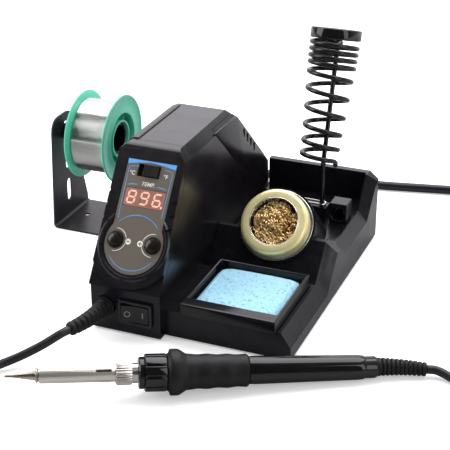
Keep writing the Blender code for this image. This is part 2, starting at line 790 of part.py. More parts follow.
def sponge_tray():
    """The tray, with a lip that hangs over the base's front."""
    top = TRAY_BOTTOM + TRAY_HEIGHT
    x, y = tray_box()
    tray = place("sponge_tray", block(x, y, (TRAY_BOTTOM, top)), gloss_black())
    lip_bottom = DECK_HEIGHT + GAP
    lip = [
        (-LIP_REACH, lip_bottom + 0.001),
        (-LIP_REACH, top - 0.001),
        (-LIP_REACH + 0.001, top),
        (TRAY_FROM_FRONT + TRAY_WALL / 2, top),
        (TRAY_FROM_FRONT + TRAY_WALL / 2, lip_bottom),
        (-LIP_REACH + 0.001, lip_bottom),
    ]
    add(tray, prism(lip, x[0], x[1], "X"))
    low, high = tray_box(TRAY_WALL), tray_box(TRAY_WALL + 0.001)
    pocket = loft(
        [(a, b, TRAY_BOTTOM + TRAY_WALL) for a, b in corner_loop(*high)],
        [(a, b, top + PAST) for a, b in corner_loop(*low)],
    )
    cut(tray, pocket)
    return chamfer(tray, 0.0005)


def corner_loop(x, y):
    """The four corners of a rectangle, going round."""
    return [(x[0], y[0]), (x[1], y[0]), (x[1], y[1]), (x[0], y[1])]


def sponge():
    """The sponge, a plain pad with softened edges that lies in the tray."""
    x, y = tray_box(TRAY_WALL + 0.001 + SPONGE_GAP)
    low = TRAY_BOTTOM + TRAY_WALL + GAP
    pad = place(
        "sponge", block(x, y, (low, low + SPONGE_HEIGHT)), finish("sponge_blue", (0.36, 0.72, 0.86), 0.9)
    )
    return chamfer(pad, 0.0012, 2)


def cleaner_cup():
    """The drawn metal cup with its rolled rim, which rests on the seat."""
    at, turn = cleaner_frame()
    rim, low = SEAT_RISE + GAP, -CUP_DEPTH
    inner, lip = CUP_RADIUS - CUP_WALL, LID_RADIUS + LID_BEAD
    profile = [
        (0, low),
        (CUP_RADIUS - 0.002, low),
        (CUP_RADIUS, low + 0.002),
        (CUP_RADIUS, rim),
        (lip, rim),
        (lip + 0.0003, rim + CUP_WALL / 2),
        (lip, rim + CUP_WALL),
        (inner, rim + CUP_WALL),
        (inner, low + 0.002 + CUP_WALL),
        (inner - 0.002, low + CUP_WALL),
        (0, low + CUP_WALL),
    ]
    return place("cleaner_cup", turned(profile, 24), steel(), at=at, turn=turn)


def cleaner_lid():
    """The gold ring, with a rolled edge round its opening and a skirt inside the cup."""
    at, turn = cleaner_frame()
    low = SEAT_RISE + 2 * GAP + CUP_WALL
    top = low + LID_HEIGHT
    skirt = CUP_RADIUS - CUP_WALL - RUN
    profile = [
        (LID_RADIUS - 0.0004, low),
        (LID_RADIUS, low + 0.0008),
        *arc((LID_RADIUS - 0.0028, top - 0.0028), 0.0028, 8, 84, 3),
        *arc((LID_OPENING + 0.0009, top - 0.0009), 0.0009, 90, 190, 2),
        (LID_OPENING, top - 0.004),
        (LID_OPENING + 0.0008, top - 0.004),
        (LID_OPENING + 0.0010, top - 0.0018),
        (skirt - 0.0008, top - 0.0018),
        (skirt - 0.0008, low - 0.005),
        (skirt, low - 0.005),
        (skirt, low),
    ]
    return place("cleaner_lid", turned(profile, 24), gold(), at=at, turn=turn)


def brass_wool():
    """The space that the curly wire wool fills: a crowned plug in the cup."""
    at, turn = cleaner_frame()
    low = -CUP_DEPTH + CUP_WALL + GAP
    side = CUP_RADIUS - CUP_WALL - RUN - 0.0008 - RUN
    top = SEAT_RISE + CUP_WALL + LID_HEIGHT - 0.0042
    crown = LID_OPENING - 0.0012
    profile = [(0, low), (side - 0.003, low), (side, low + 0.003), (side, top - 0.003), (crown, top - 0.001)]
    profile += [(crown * math.cos(a), top - 0.001 + WOOL_CROWN * math.sin(a)) for a in (0.5, 1.0)]
    profile += [(0, top - 0.001 + WOOL_CROWN)]
    return place(
        "brass_wool",
        turned(profile, 20),
        finish("brass_wire", (0.62, 0.44, 0.20), 0.35, 1.0),
        at=at,
        turn=turn,
    )


# ---------------------------------------------------------------- iron holder


def holder_axis():
    """The stem's bend, and the direction of everything above it."""
    bend = Vector((-HOLDER_X, HOLDER_Y, STEM_BEND_HEIGHT))
    return bend, Vector((0, math.sin(HOLDER_LEAN), math.cos(HOLDER_LEAN)))


def ease(share):
    """A smooth step from 0 to 1."""
    share = min(max(share, 0), 1)
    return share * share * (3 - 2 * share)


def coil_heights():
    """How far up the stem each point of the coil lies: wide turns in the middle, close ones on top."""
    start, end = CLOSING
    along, heights = COIL_BOTTOM, []
    for i in range(round(COIL_TURNS * CURL_POINTS) + 1):
        heights.append(along)
        turn = (i + 0.5) / CURL_POINTS
        opened = (0.45 + 0.55 * ease(turn / WIDENING)) * (1 - ease((turn - start) / (end - start)))
        along += (TIGHT_PITCH + (OPEN_PITCH - TIGHT_PITCH) * opened) / CURL_POINTS
    return heights


def coil_point(angle, along, radius):
    """A point about the coil's own axis, which runs inside the stem; angle 0 points back.

    along runs up the leaning stem from its bend.
    """
    bend, up = holder_axis()
    across, back = Vector((1, 0, 0)), Vector((0, math.cos(HOLDER_LEAN), -math.sin(HOLDER_LEAN)))
    share = (along - COIL_BOTTOM) / (coil_heights()[-1] - COIL_BOTTOM)
    centre = bend + up * along - back * STEM_INSIDE - across * COIL_SET_LEFT * (1 - share)
    return centre + (back * math.cos(angle) + across * math.sin(angle)) * radius


def holder_points():
    """The wire's middle line: its curled end, the coil, and the stem down the inside."""
    heights = coil_heights()
    low, top = heights[0], heights[-1]
    start = math.radians(102)
    points = [
        coil_point(start - math.radians(32), low - 0.0030, COIL_RADIUS_LOW - 0.0002),
        coil_point(start - math.radians(17), low - 0.0012, COIL_RADIUS_LOW),
    ]
    for i, along in enumerate(heights):
        radius = COIL_RADIUS_LOW + (COIL_RADIUS_TOP - COIL_RADIUS_LOW) * ease((along - low) / (top - low))
        points.append(coil_point(start + 2 * math.pi * i / CURL_POINTS, along, radius))
    turn = start + 2 * math.pi * COIL_TURNS
    bend, up = holder_axis()
    for ahead, radius, drop in ((16, 0.0136, 0), (31, 0.0126, 0), (44, 0.0106, 0), (50, 0.0083, 0.0006)):
        angle = turn + math.radians(ahead)
        points.append(coil_point(angle, top, radius) - up * drop)
    for along in (top - 0.0028, top - 0.0062, top - 0.012, top - 0.030, top - 0.050, 0.009):
        points.append(bend + up * along)
    points.append(bend + up * 0.004 + Vector((0, 0, 0.0004)))
    points.append(bend + Vector((0, 0, -0.003)))
    foot = SHELF_HEIGHT + SOCKET_HEIGHT - STEM_IN_SOCKET
    for height in (STEM_BEND_HEIGHT - 0.014, foot + 0.012, foot + 0.003, foot):
        points.append(Vector((-HOLDER_X, HOLDER_Y, height)))
    return points


def holder_wire():
    """The spring holder: one bent wire from its hooked end to its foot."""
    points = holder_points()
    least_gap("holder_wire", points, WIRE_RADIUS)
    pivot = bpy.data.objects["holder_pivot"]
    own = [p - Vector(pivot.location) for p in points]
    return tube("holder_wire", own, WIRE_RADIUS, gloss_black(), resolution=1, parent=pivot)


def holder_collar():
    """The thick ring on the top turn, with a shallow lead-in."""
    bend, up = holder_axis()
    top = coil_heights()[-1] + WIRE_RADIUS + GAP
    outer = COIL_RADIUS_TOP + WIRE_RADIUS
    profile = [
        (outer - COLLAR_WALL, top),
        (outer - 0.0006, top),
        (outer, top + 0.0006),
        (outer, top + COLLAR_HEIGHT - 0.0006),
        (outer - 0.0006, top + COLLAR_HEIGHT),
        (outer - COLLAR_WALL + 0.0012, top + COLLAR_HEIGHT),
        (outer - COLLAR_WALL, top + COLLAR_HEIGHT - 0.0012),
    ]
    pivot = bpy.data.objects["holder_pivot"]
    back = Vector((0, math.cos(HOLDER_LEAN), -math.sin(HOLDER_LEAN)))
    at = bend - Vector(pivot.location) - back * STEM_INSIDE
    ring = place(
        "holder_collar",
        turned(profile, 28),
        gloss_black(),
        at=at,
        turn=(-HOLDER_LEAN, 0, 0),
        parent=pivot,
    )
    return ring


def holder_clip():
    """The bent steel spring at the stem's foot: a loop round the stem with two short arms to the left."""
    height = SHELF_HEIGHT + SOCKET_HEIGHT + 0.0012
    wire, bow = 0.0006, WIRE_RADIUS + 0.0011
    ring = arc((0, 0), bow, 125, -125, 8)
    arm = [(-0.0045, 0.0022), (-0.0085, 0.0024), (-0.0125, 0.0026)]
    flat = [*reversed(arm), *ring, *((x, -y) for x, y in arm)]
    points = [(-HOLDER_X + x, HOLDER_Y + y, height) for x, y in flat]
    return tube("holder_clip", points, wire, steel(), resolution=1)


def spare_socket():
    """The second socket on the shelf, whose bore faces the front."""
    half = SPARE_SIZE / 2
    low = SHELF_HEIGHT + GAP
    front = HOLDER_Y - SOCKET_DEPTH / 2
    body = block(
        (-SPARE_X - half, -SPARE_X + half), (front, front + SPARE_SIZE), (low, low + SPARE_SIZE + 0.0015)
    )
    socket = place("spare_socket", body, black_plastic())
    bore = turned([(0, -PAST), (SPARE_BORE, -PAST), (SPARE_BORE, 0.009), (0, 0.009)], 24)
    cut(socket, bore, at=(-SPARE_X, front, low + SPARE_SIZE / 2), turn=(-math.pi / 2, 0, 0))
    return chamfer(socket, 0.0004)


def socket_clip():
    """The sprung wire in the empty socket, bent to an arch."""
    radius, wire = SPARE_BORE - 0.0017, 0.00055
    front = HOLDER_Y - SOCKET_DEPTH / 2 + 0.0045
    middle = SHELF_HEIGHT + GAP + SPARE_SIZE / 2
    leg = [(radius, -0.0015), (radius, 0)]
    bow = arc((0, 0), radius, 15, 165, 8)
    points = [(-SPARE_X + a, front, middle + b) for a, b in [*leg, *bow, (-radius, 0), (-radius, -0.0004)]]
    return tube("socket_clip", points, wire, steel(), resolution=1)


# ---------------------------------------------------------------- control housing


def housing_profile(inset):
    """The housing's side outline, drawn in by inset, as (back, up) points."""
    top, floor = HOUSING_HEIGHT - inset, HOUSING_FLOOR - (PAST if inset > 0 else 0)
    slope = math.tan(FRONT_LEAN)
    in_front = inset / math.cos(FRONT_LEAN)
    front_at = lambda z: FRONT_TOP_Y + in_front - (HOUSING_HEIGHT - z) * slope
    reach = FRONT_ROUND * math.tan((math.pi / 2 - FRONT_LEAN) / 2)
    centre = (front_at(top) + reach, top - FRONT_ROUND)
    turn = 90 - math.degrees(FRONT_LEAN)
    front = arc(centre, FRONT_ROUND, 90 + turn, 90, 5)
    rear_shift = inset / math.sin(REAR_LEAN) - inset / math.tan(REAR_LEAN)
    rear_y = ROOF_BACK_Y - rear_shift
    end_y = REAR_END_Y - inset
    end_z = top - (end_y - rear_y) * math.tan(REAR_LEAN)
    return [(front_at(floor), floor), *front, (rear_y, top), (end_y, end_z), (end_y, floor)]


def housing_section(inset):
    """The housing's outline from the front, drawn in by inset, as (across, up) points."""
    left, right = HOUSING_LEFT + inset, HOUSING_RIGHT - inset
    top, floor = HOUSING_HEIGHT - inset, HOUSING_FLOOR - PAST
    wide, drop = RIGHT_BEVEL
    reach, fall = LEFT_SHOULDER
    return [
        (left, floor),
        (left, top - fall),
        (left + reach, top),
        (right - RIGHT_DRAFT - wide, top),
        (right - RIGHT_DRAFT, top - drop),
        (right, floor),
    ]


def housing_solid(inset, name, material):
    """The whole housing's form, from which each shell is cut."""
    side = prism(housing_profile(inset), HOUSING_LEFT - PAST, HOUSING_RIGHT + PAST, "X")
    form = place(name, side, material)
    section = prism(housing_section(inset), -0.05, BASE_DEPTH + PAST, "Y")
    return keep(form, section)


def front_region(depth, low=-0.05):
    """Everything nearer the front plane than depth, as a prism along X."""
    slope = math.tan(FRONT_LEAN)
    shift = depth / math.cos(FRONT_LEAN)
    high = HOUSING_HEIGHT + 0.02
    at = lambda z: FRONT_TOP_Y + shift - (HOUSING_HEIGHT - z) * slope
    outline = [(at(0), 0), (at(high), high), (low - 0.05, high), (low - 0.05, 0)]
    return prism(outline, HOUSING_LEFT - 0.01, HOUSING_RIGHT + 0.01, "X")


def rear_region(depth):
    """Everything nearer the back slope than depth, as a prism along X."""
    shift = depth / math.sin(REAR_LEAN)
    slope = 1 / math.tan(REAR_LEAN)
    at = lambda z: ROOF_BACK_Y - shift + (HOUSING_HEIGHT - z) * slope
    outline = [(at(0), 0), (at(0.13), 0.13), (0.25, 0.13), (0.25, 0)]
    return prism(outline, HOUSING_LEFT - 0.01, HOUSING_RIGHT + 0.01, "X")


def inner_form(target):
    """Hollows a shell with the housing's form, drawn in by the wall."""
    inner = housing_solid(HOUSING_WALL, f"{target.name}_inside", None)
    use(target, inner, "DIFFERENCE")


def housing_body():
    """The roof and the right wall, from the bezel to the rear cover."""
    body = housing_solid(0, "housing_body", black_plastic())
    cut(body, front_region(BEZEL_THICKNESS + GAP))
    cut(body, block((-1, HOUSING_LEFT + CHEEK_WIDTH + GAP), (-1, 1), (-1, 1)))
    inner_form(body)
    cut(body, rear_slab(GAP))
    return body


def rear_slab(extra):
    """What the rear cover takes out of the body: all behind the ridge but the roof's own skin."""
    shift = (REAR_COVER_DEPTH + extra) / math.sin(REAR_LEAN)
    slope = 1 / math.tan(REAR_LEAN)
    at = lambda z: ROOF_BACK_Y - shift + (HOUSING_HEIGHT - z) * slope
    roof = HOUSING_HEIGHT - ROOF_THICKNESS
    outline = [(at(0), 0), (at(roof), roof), (0.25, roof), (0.25, 0)]
    return prism(outline, HOUSING_LEFT - 0.01, HOUSING_RIGHT + 0.01, "X")


def left_cheek():
    """The left side shell, seen from above as the strip beside the roof's seam."""
    cheek = housing_solid(0, "left_cheek", black_plastic())
    cut(cheek, front_region(BEZEL_THICKNESS + GAP))
    cut(cheek, block((HOUSING_LEFT + CHEEK_WIDTH - GAP, 1), (-1, 1), (-1, 1)))
    inner_form(cheek)
    return cheek


def rear_cover():
    """The sloping back with its slots, which wraps round to the right wall."""
    cover = housing_solid(0, "rear_cover", black_plastic())
    keep(cover, rear_region(REAR_COVER_DEPTH))
    cut(cover, block((-1, HOUSING_LEFT + CHEEK_WIDTH + GAP), (-1, 1), (-1, 1)))
    inner_form(cover)
    cut(cover, block((-1, 1), (-1, 1), (HOUSING_HEIGHT - ROOF_THICKNESS - GAP, 1)))
    mid_y = (ROOF_BACK_Y + REAR_END_Y) / 2
    mid_z = HOUSING_HEIGHT - (mid_y - ROOF_BACK_Y) * math.tan(REAR_LEAN)
    for i in range(VENT_COUNT):
        along = (i - (VENT_COUNT - 1) / 2) * VENT_STEP
        y, z = mid_y + along * math.cos(REAR_LEAN), mid_z - along * math.sin(REAR_LEAN)
        slit = block(
            (HOUSING_LEFT + 0.011, HOUSING_RIGHT - 0.012),
            (-VENT_WIDTH / 2, VENT_WIDTH / 2),
            (-0.006, 0.006),
        )
        cut(cover, slit, at=(0, y, z), turn=(-REAR_LEAN, 0, 0))
        notch = block(
            (HOUSING_RIGHT - RIGHT_DRAFT - 0.002, HOUSING_RIGHT + 0.002),
            (-0.0008, 0.0008),
            (-0.0095, -0.002),
        )
        cut(cover, notch, at=(0, y - 0.001, z))
    return cover


def panel_guide():
    """The panel's own frame: its middle at the roof's edge line, Y up the front, Z out of it."""
    at = (HOUSING_MIDDLE, FRONT_TOP_Y, HOUSING_HEIGHT)
    return guide("panel_frame", at, (math.pi / 2 - FRONT_LEAN, 0, 0), bpy.data.objects["station"])


def keyhole(inset):
    """The panel's outline in its own frame, drawn in by inset: straight sides into a round end."""
    half, radius = PANEL_HALF - inset, DIAL_RADIUS - inset
    turn = math.degrees(math.acos(half / radius))
    end = arc((0, -DIAL_CENTRE), radius, 180 - turn, 360 + turn, 22)
    return [(half, -PANEL_TOP - inset), (-half, -PANEL_TOP - inset), *end]


def front_bezel():
    """The leaning front: keyhole recess, raised ring, round nose, and openings for what shows."""
    frame = bpy.data.objects["panel_frame"]
    bezel = housing_solid(0, "front_bezel", black_plastic())
    keep(bezel, front_region(BEZEL_THICKNESS))
    ring = turned(
        [
            (RING_INNER, -0.002),
            (RING_OUTER, -0.002),
            (RING_OUTER, 0),
            (RING_OUTER - 0.001, RING_HEIGHT),
            (RING_INNER + 0.0006, RING_HEIGHT),
            (RING_INNER, 0),
        ],
        36,
    )
    add(bezel, ring, parent=frame, at=(0, -DIAL_CENTRE, 0))
    channel = block((-PANEL_HALF, PANEL_HALF), (-DIAL_CENTRE, -PANEL_TOP - 0.02), (0.00002, 0.01))
    cut(bezel, channel, parent=frame)
    across, down = HOUSING_WIDTH, DIAL_CENTRE + HOUSING_HEIGHT
    corners = block((-across, across), (-down, -DIAL_CENTRE), (-NOSE_STEP, 0.01))
    shoulder = place("front_bezel_corners", corners, None, parent=frame, smooth=False)
    nose = turned([(0, -0.01), (NOSE_RADIUS, -0.01), (NOSE_RADIUS, 0.02), (0, 0.02)], 40)
    cut(shoulder, nose, parent=frame, at=(0, -DIAL_CENTRE, 0))
    use(bezel, shoulder, "DIFFERENCE")
    cut(bezel, prism(keyhole(-GAP), -PANEL_RECESS, PAST), parent=frame)
    cut(
        bezel,
        prism(
            rounded(WINDOW[0] + 2 * GAP, WINDOW[1] + 2 * GAP, 0.0006, 2, (0, -WINDOW_CENTRE)),
            -0.01,
            PAST,
        ),
        parent=frame,
    )
    cut(
        bezel,
        prism(rounded(SLOT[0], SLOT[1], 0.0004, 2, (SLOT_SHIFT, -SLOT_CENTRE)), -0.01, PAST),
        parent=frame,
    )
    for side in (-1, 1):
        hole = turned([(0, -0.01), (BUTTON_RADIUS + RUN, -0.01), (BUTTON_RADIUS + RUN, PAST), (0, PAST)], 18)
        cut(bezel, hole, parent=frame, at=(side * BUTTON_APART / 2, -BUTTON_CENTRE, 0))
        for i in range(3):
            groove = block((-0.0035, 0.0035), (-0.0006, 0.0006), (-0.0009, 0.002))
            across = side * (HOUSING_WIDTH / 2 - 0.0018)
            cut(
                bezel,
                groove,
                parent=frame,
                at=(across, -0.030 - 0.008 * i, 0),
                turn=(0, 0, side * math.radians(28)),
            )
    for x, y in board_pegs():
        peg = turned(
            [
                (0, -BOARD_BACK + GAP),
                (0.0021, -BOARD_BACK + GAP),
                (0.0021, -BEZEL_THICKNESS + 0.001),
                (0, -BEZEL_THICKNESS + 0.001),
            ],
            10,
        )
        add(bezel, peg, parent=frame, at=(x, y, 0))
    return bezel


def board_pegs():
    """Where the display board stands on the bezel's pegs, in the panel's frame."""
    return [(-0.0145, -0.020), (0.0145, -0.020), (-0.0145, -0.0670), (0.0145, -0.0670)]


def panel_overlay():
    """The film over the panel, open round the display, the slide switch and the buttons."""
    frame = bpy.data.objects["panel_frame"]
    low = -PANEL_RECESS + GAP
    film = place(
        "panel_overlay",
        prism(keyhole(0), low, low + OVERLAY_THICKNESS),
        finish("panel_film", (0.10, 0.085, 0.068), 0.35),
        parent=frame,
    )
    cut(
        film,
        prism(
            rounded(WINDOW[0] + 2 * GAP, WINDOW[1] + 2 * GAP, 0.0006, 2, (0, -WINDOW_CENTRE)),
            -0.01,
            PAST,
        ),
        parent=frame,
    )
    cut(
        film,
        prism(rounded(SLOT[0], SLOT[1], 0.0004, 2, (SLOT_SHIFT, -SLOT_CENTRE)), -0.01, PAST),
        parent=frame,
    )
    for side in (-1, 1):
        hole = turned([(0, -0.01), (BUTTON_RADIUS + RUN, -0.01), (BUTTON_RADIUS + RUN, PAST), (0, PAST)], 18)
        cut(film, hole, parent=frame, at=(side * BUTTON_APART / 2, -BUTTON_CENTRE, 0))
    return film


def led_window():
    """The display's lens, flush with the film."""
    top = -PANEL_RECESS + GAP + OVERLAY_THICKNESS
    lens = prism(rounded(WINDOW[0], WINDOW[1], 0.0005, 2, (0, -WINDOW_CENTRE)), top - 0.0016, top)
    return place(
        "led_window",
        lens,
        finish("lens_red", (0.75, 0.42, 0.36), 0.2),
        parent=bpy.data.objects["panel_frame"],
    )


def led_display():
    """The three digit display between the lens and its board."""
    top = -PANEL_RECESS + GAP + OVERLAY_THICKNESS - 0.0016 - GAP
    low = -BOARD_BACK + GAP
    wide, high = WINDOW[0] - 0.0012, WINDOW[1] - 0.0012
    body = block((-wide / 2, wide / 2), (-WINDOW_CENTRE - high / 2, -WINDOW_CENTRE + high / 2), (low, top))
    return place(
        "led_display",
        body,
        finish("display_grey", (0.30, 0.28, 0.28), 0.5),
        parent=bpy.data.objects["panel_frame"],
    )


def display_board():
    """The board behind the panel, on the bezel's pegs, with the two switches under the buttons."""
    frame = bpy.data.objects["panel_frame"]
    low = DIAL_CENTRE + BOARD_BELOW
    middle = (BOARD_TOP + low) / 2
    outline = rounded(DISPLAY_BOARD_WIDTH, low - BOARD_TOP, 0.002, 2, (0, -middle))
    board = place(
        "display_board",
        prism(outline, -BOARD_BACK - BOARD_THICKNESS, -BOARD_BACK),
        board_green(),
        parent=frame,
    )
    half = 0.003
    for side in (-1, 1):
        x, y = side * BUTTON_APART / 2, -BUTTON_CENTRE
        body = block(
            (x - half, x + half),
            (y - half, y + half),
            (-BOARD_BACK - BOARD_THICKNESS / 2, -BOARD_BACK + SWITCH_HEIGHT),
        )
        add(board, body, parent=frame)
    return board


def push_button(name, side):
    """A domed cap with a collar behind the front and a stem that reaches for its switch."""
    frame = bpy.data.objects["panel_frame"]
    base = -BEZEL_THICKNESS
    switch = -BOARD_BACK + SWITCH_HEIGHT
    stem = switch + BUTTON_TRAVEL + GAP
    crown = BUTTON_PROUD
    edge = crown - 0.0012
    dome = [(BUTTON_RADIUS * math.cos(a), edge + 0.0012 * math.sin(a)) for a in (0.35, 0.9)]
    profile = [
        (0, stem),
        (0.0016, stem),
        (0.0016, base - GAP - 0.0009),
        (BUTTON_RADIUS + 0.0010, base - GAP - 0.0009),
        (BUTTON_RADIUS + 0.0010, base - GAP),
        (BUTTON_RADIUS, base - GAP),
        (BUTTON_RADIUS, edge),
        *dome,
        (0, crown),
    ]
    at = (side * BUTTON_APART / 2, -BUTTON_CENTRE, 0)
    return place(name, turned(profile, 18), gloss_black(), at=at, parent=frame)


def unit_switch():
    """The slide switch's body behind the front."""
    frame = bpy.data.objects["panel_frame"]
    top = -BEZEL_THICKNESS - GAP
    body = block(
        (-SLOT[0] / 2 - 0.001, SLOT[0] / 2 + 0.001),
        (-SLOT_CENTRE - 0.003, -SLOT_CENTRE + 0.003),
        (top - 0.0032, top),
    )
    return place("unit_switch", body, steel(), parent=frame)


def unit_slider():
    """The ribbed knob that slides in the slot."""
    frame = bpy.data.objects["panel_frame"]
    low, top = -BEZEL_THICKNESS, KNOB_HEIGHT
    middle, half = SLOT_SHIFT + KNOB_SHIFT, KNOB_WIDTH / 2
    ribs = 6
    step = KNOB_WIDTH / ribs
    outline = [(middle - half, low), (middle + half, low)]
    for i in range(ribs):
        right = middle + half - i * step
        outline += [(right, top - 0.0006), (right - 0.25 * step, top), (right - 0.75 * step, top)]
    outline += [(middle - half, top - 0.0006)]
    high = SLOT[1] / 2 - RUN
    knob = prism(outline, -SLOT_CENTRE - high, -SLOT_CENTRE + high, "Y")
    return place("unit_slider", knob, gloss_black(), parent=frame, smooth=False)


# ---------------------------------------------------------------- power switch and boards


def front_opening():
    """The cut-out for the power switch through the block's front wall."""
    wide, high = ROCKER_FRAME[0] - 0.0024, ROCKER_FRAME[1] - 0.0024
    return block((-wide / 2, wide / 2), (-PAST, BASE_WALL + PAST), (-high / 2, high / 2))


def power_frame():
    """The power switch's frame and body, open for the rocker."""
    at = (-ROCKER_X, -BLOCK_FRONT, ROCKER_Z)
    wide, high = ROCKER_FRAME
    outline = rounded(wide, high, 0.0015, 3)
    frame = place("power_frame", prism(outline, -GAP - 0.0018, -GAP, "Y"), black_plastic(), at=at)
    body_wide, body_high = wide - 0.0024 - 2 * GAP, high - 0.0024 - 2 * GAP
    body = block((-body_wide / 2, body_wide / 2), (-0.0015, 0.0125), (-body_high / 2, body_high / 2))
    add(frame, body)
    move_tools(frame, at)
    room_wide, room_high = ROCKER_SIZE[0] + 2 * RUN, ROCKER_SIZE[1] + 2 * RUN
    cut(
        frame,
        block((-room_wide / 2, room_wide / 2), (-0.01, 0.0100), (-room_high / 2, room_high / 2)),
        at=at,
    )
    return frame


def move_tools(target, at):
    """Puts the operands made so far at the place of their target."""
    for step in target.modifiers:
        if step.type == "BOOLEAN" and tuple(step.object.location) == (0, 0, 0):
            step.object.location = at


def power_rocker():
    """The rocker, whose face is a shallow V that pivots about an upright axis."""
    half = ROCKER_SIZE[0] / 2 - 0.0002
    face = -0.0030
    rise = half * math.tan(ROCKER_TILT)
    outline = [
        (-half, face - rise),
        (-0.0008, face),
        (0.0008, face),
        (half, face - rise),
        (half - 0.0016, 0.0020),
        (0.0030, 0.0062),
        (-0.0030, 0.0062),
        (-half + 0.0016, 0.0020),
    ]
    high = ROCKER_SIZE[1] / 2
    rocker = prism(outline, -high, high, "Z")
    pivot = bpy.data.objects["rocker_pivot"]
    return place("power_rocker", rocker, gloss_black(), turn=(0, 0, ROCKER_TILT), parent=pivot, smooth=False)


def board_posts():
    """The posts on the base plate that carry the control board."""
    xs = (-BASE_WIDTH + 0.010, BLOCK_RIGHT - 0.010)
    ys = (BOARD_SPAN[0] + 0.006, BOARD_SPAN[1] - 0.006)
    return [(x, y) for x in xs for y in ys]


def control_board():
    """The mains board, with its storage capacitor, relay and plug-in connector."""
    outline = corner_loop((-BASE_WIDTH + 0.0055, BLOCK_RIGHT - 0.0055), BOARD_SPAN)
    board = place("control_board", prism(outline, BOARD_Z, BOARD_Z + BOARD_THICKNESS), board_green())
    low = BOARD_Z + BOARD_THICKNESS / 2
    middle = (-BASE_WIDTH + BLOCK_RIGHT) / 2
    can = turned(
        [(0, low), (0.0065, low), (0.0065, low + 0.0165), (0.006, low + 0.017), (0, low + 0.017)], 20
    )
    front, back = BOARD_SPAN
    relay = (back - 0.030, back - 0.010)
    add(board, can, at=(middle - 0.004, relay[0] - 0.012, 0))
    add(board, block((middle - 0.011, middle + 0.004), relay, (low, low + 0.0163)))
    add(board, block((middle - 0.008, middle + 0.004), (front + 0.006, front + 0.013), (low, low + 0.0088)))
    return board


def heat_sink():
    """The finned plate that cools the triac, upright on the board."""
    low = BOARD_Z + BOARD_THICKNESS + GAP
    x = BLOCK_RIGHT - 0.0125
    outline = [(x, 0.060), (x + 0.0015, 0.060)]
    for i in range(4):
        y = 0.0640 + 0.008 * i
        outline += [(x + 0.0015, y), (x + 0.0055, y), (x + 0.0055, y + 0.0015), (x + 0.0015, y + 0.0015)]
    outline += [(x + 0.0015, 0.094), (x, 0.094)]
    return place(
        "heat_sink",
        prism(outline, low, low + 0.016),
        finish("sink_alloy", (0.55, 0.56, 0.58), 0.4, 1.0),
        smooth=False,
    )


# ---------------------------------------------------------------- cord outlets


def ribbed_relief(name, path, ribs, thick, thin, flange, parent=None):
    """A tapering strain relief: a flange, as a share of its radius, then ribs and grooves along a path."""
    line = smooth_route(path, 2 * ribs + 3)
    radii = [flange, flange]
    for i in range(2 * ribs):
        taper = 1 - (1 - thin / thick) * i / (2 * ribs)
        radii.append(taper if i % 2 else taper * 0.82)
    radii.append(thin / thick * 0.95)
    return tube(name, line, thick, soft_rubber(), resolution=2, radii=radii, parent=parent)


def outlet_path():
    """From the block's front forwards, turning to the left."""
    x, z = -OUTLET[0], OUTLET[1]
    y = -BLOCK_FRONT - GAP
    ahead = (
        (0, 0, 0),
        (0.0002, 0.004, 0),
        (0.0016, 0.0145, 0.0002),
        (0.0040, 0.0230, 0.0005),
        (0.0072, 0.0300, 0.0010),
    )
    return [(x - a, y - b, z - c) for a, b, c in ahead]


def inlet_path():
    """From the base's back, straight out."""
    x, z = -INLET[0], INLET[1]
    y = BASE_DEPTH + GAP
    return [(x, y + INLET_LENGTH * t, z - 0.0012 * t * t) for t in (0, 0.35, 0.7, 1)]


# ---------------------------------------------------------------- solder holder


def bracket_profile():
    """The bent sheet seen from the front: upright, round bend, foot; as (across, up) points."""
    out, thick, bend = -BRACKET_X - BRACKET_THICKNESS, BRACKET_THICKNESS, BRACKET_BEND
    toe = -BASE_WIDTH + BRACKET_TONGUE
    centre = (out + bend, bend)
    outer = arc(centre, bend, 180, 270, 5)
    inner = arc(centre, bend - thick, 270, 180, 5)
    return [(out, BRACKET_HEIGHT), *outer, (toe, 0), (toe, thick), *inner, (out + thick, BRACKET_HEIGHT)]


def spool_bracket():
    """The steel bracket: its upright narrows to a round top and has two slots for the spindle."""
    front, back = BRACKET_FRONT, BRACKET_FRONT + BRACKET_DEPTH
    bracket = place(
        "spool_bracket",
        prism(bracket_profile(), front, back, "Y"),
        finish("black_enamel", (0.03, 0.03, 0.032), 0.33),
    )
    top, round_ = BRACKET_HEIGHT, 0.009
    lean_front, lean_back = 0.004, 0.015
    outline = [
        (front, -PAST),
        (back, -PAST),
        (back, 0.006),
        (back - 0.0045, 0.021),
        *arc((back - lean_back - round_, top - round_), round_, 0, 90, 4),
        *arc((front + lean_front + round_, top - round_), round_, 90, 180, 4),
    ]
    keep(bracket, prism(outline, -0.3, 0.1, "X"))
    upper = BRACKET_HEIGHT - SLOT_TOP - UPPER_SLOT
    for low, high in ((SLOT_LOW, upper - SLOT_GAP), (upper, upper + UPPER_SLOT)):
        hole = slot_outline(SLOT_WIDTH, high - low, (SPOOL_Y, (low + high) / 2))
        cut(bracket, prism(hole, -BRACKET_X - 0.01, -BRACKET_X + 0.01, "X"))
    wide, hole = SCREW_HEAD_RADIUS, SCREW_RADIUS + RUN / 2
    for x, y in screw_places()[1].values():
        sink = [
            (0, -PAST),
            (wide, -PAST),
            (wide, 0.0001),
            (hole, BRACKET_THICKNESS - GAP),
            (hole, 0.005),
            (0, 0.005),
        ]
        cut(bracket, turned(sink, 12), at=(x, y, 0))
    cut(
        bracket,
        turned([(0, -PAST), (0.002, -PAST), (0.002, PAST), (0, PAST)], 12),
        at=(-BRACKET_X + 0.011, SPOOL_Y + 0.003, 0),
    )
    return bracket


def along_x(mesh, x, y, z):
    """A turned piece laid along X, with its height running to the right from x."""
    return moved(mesh, (x, y, z), Matrix.Rotation(math.pi / 2, 4, "Y"))


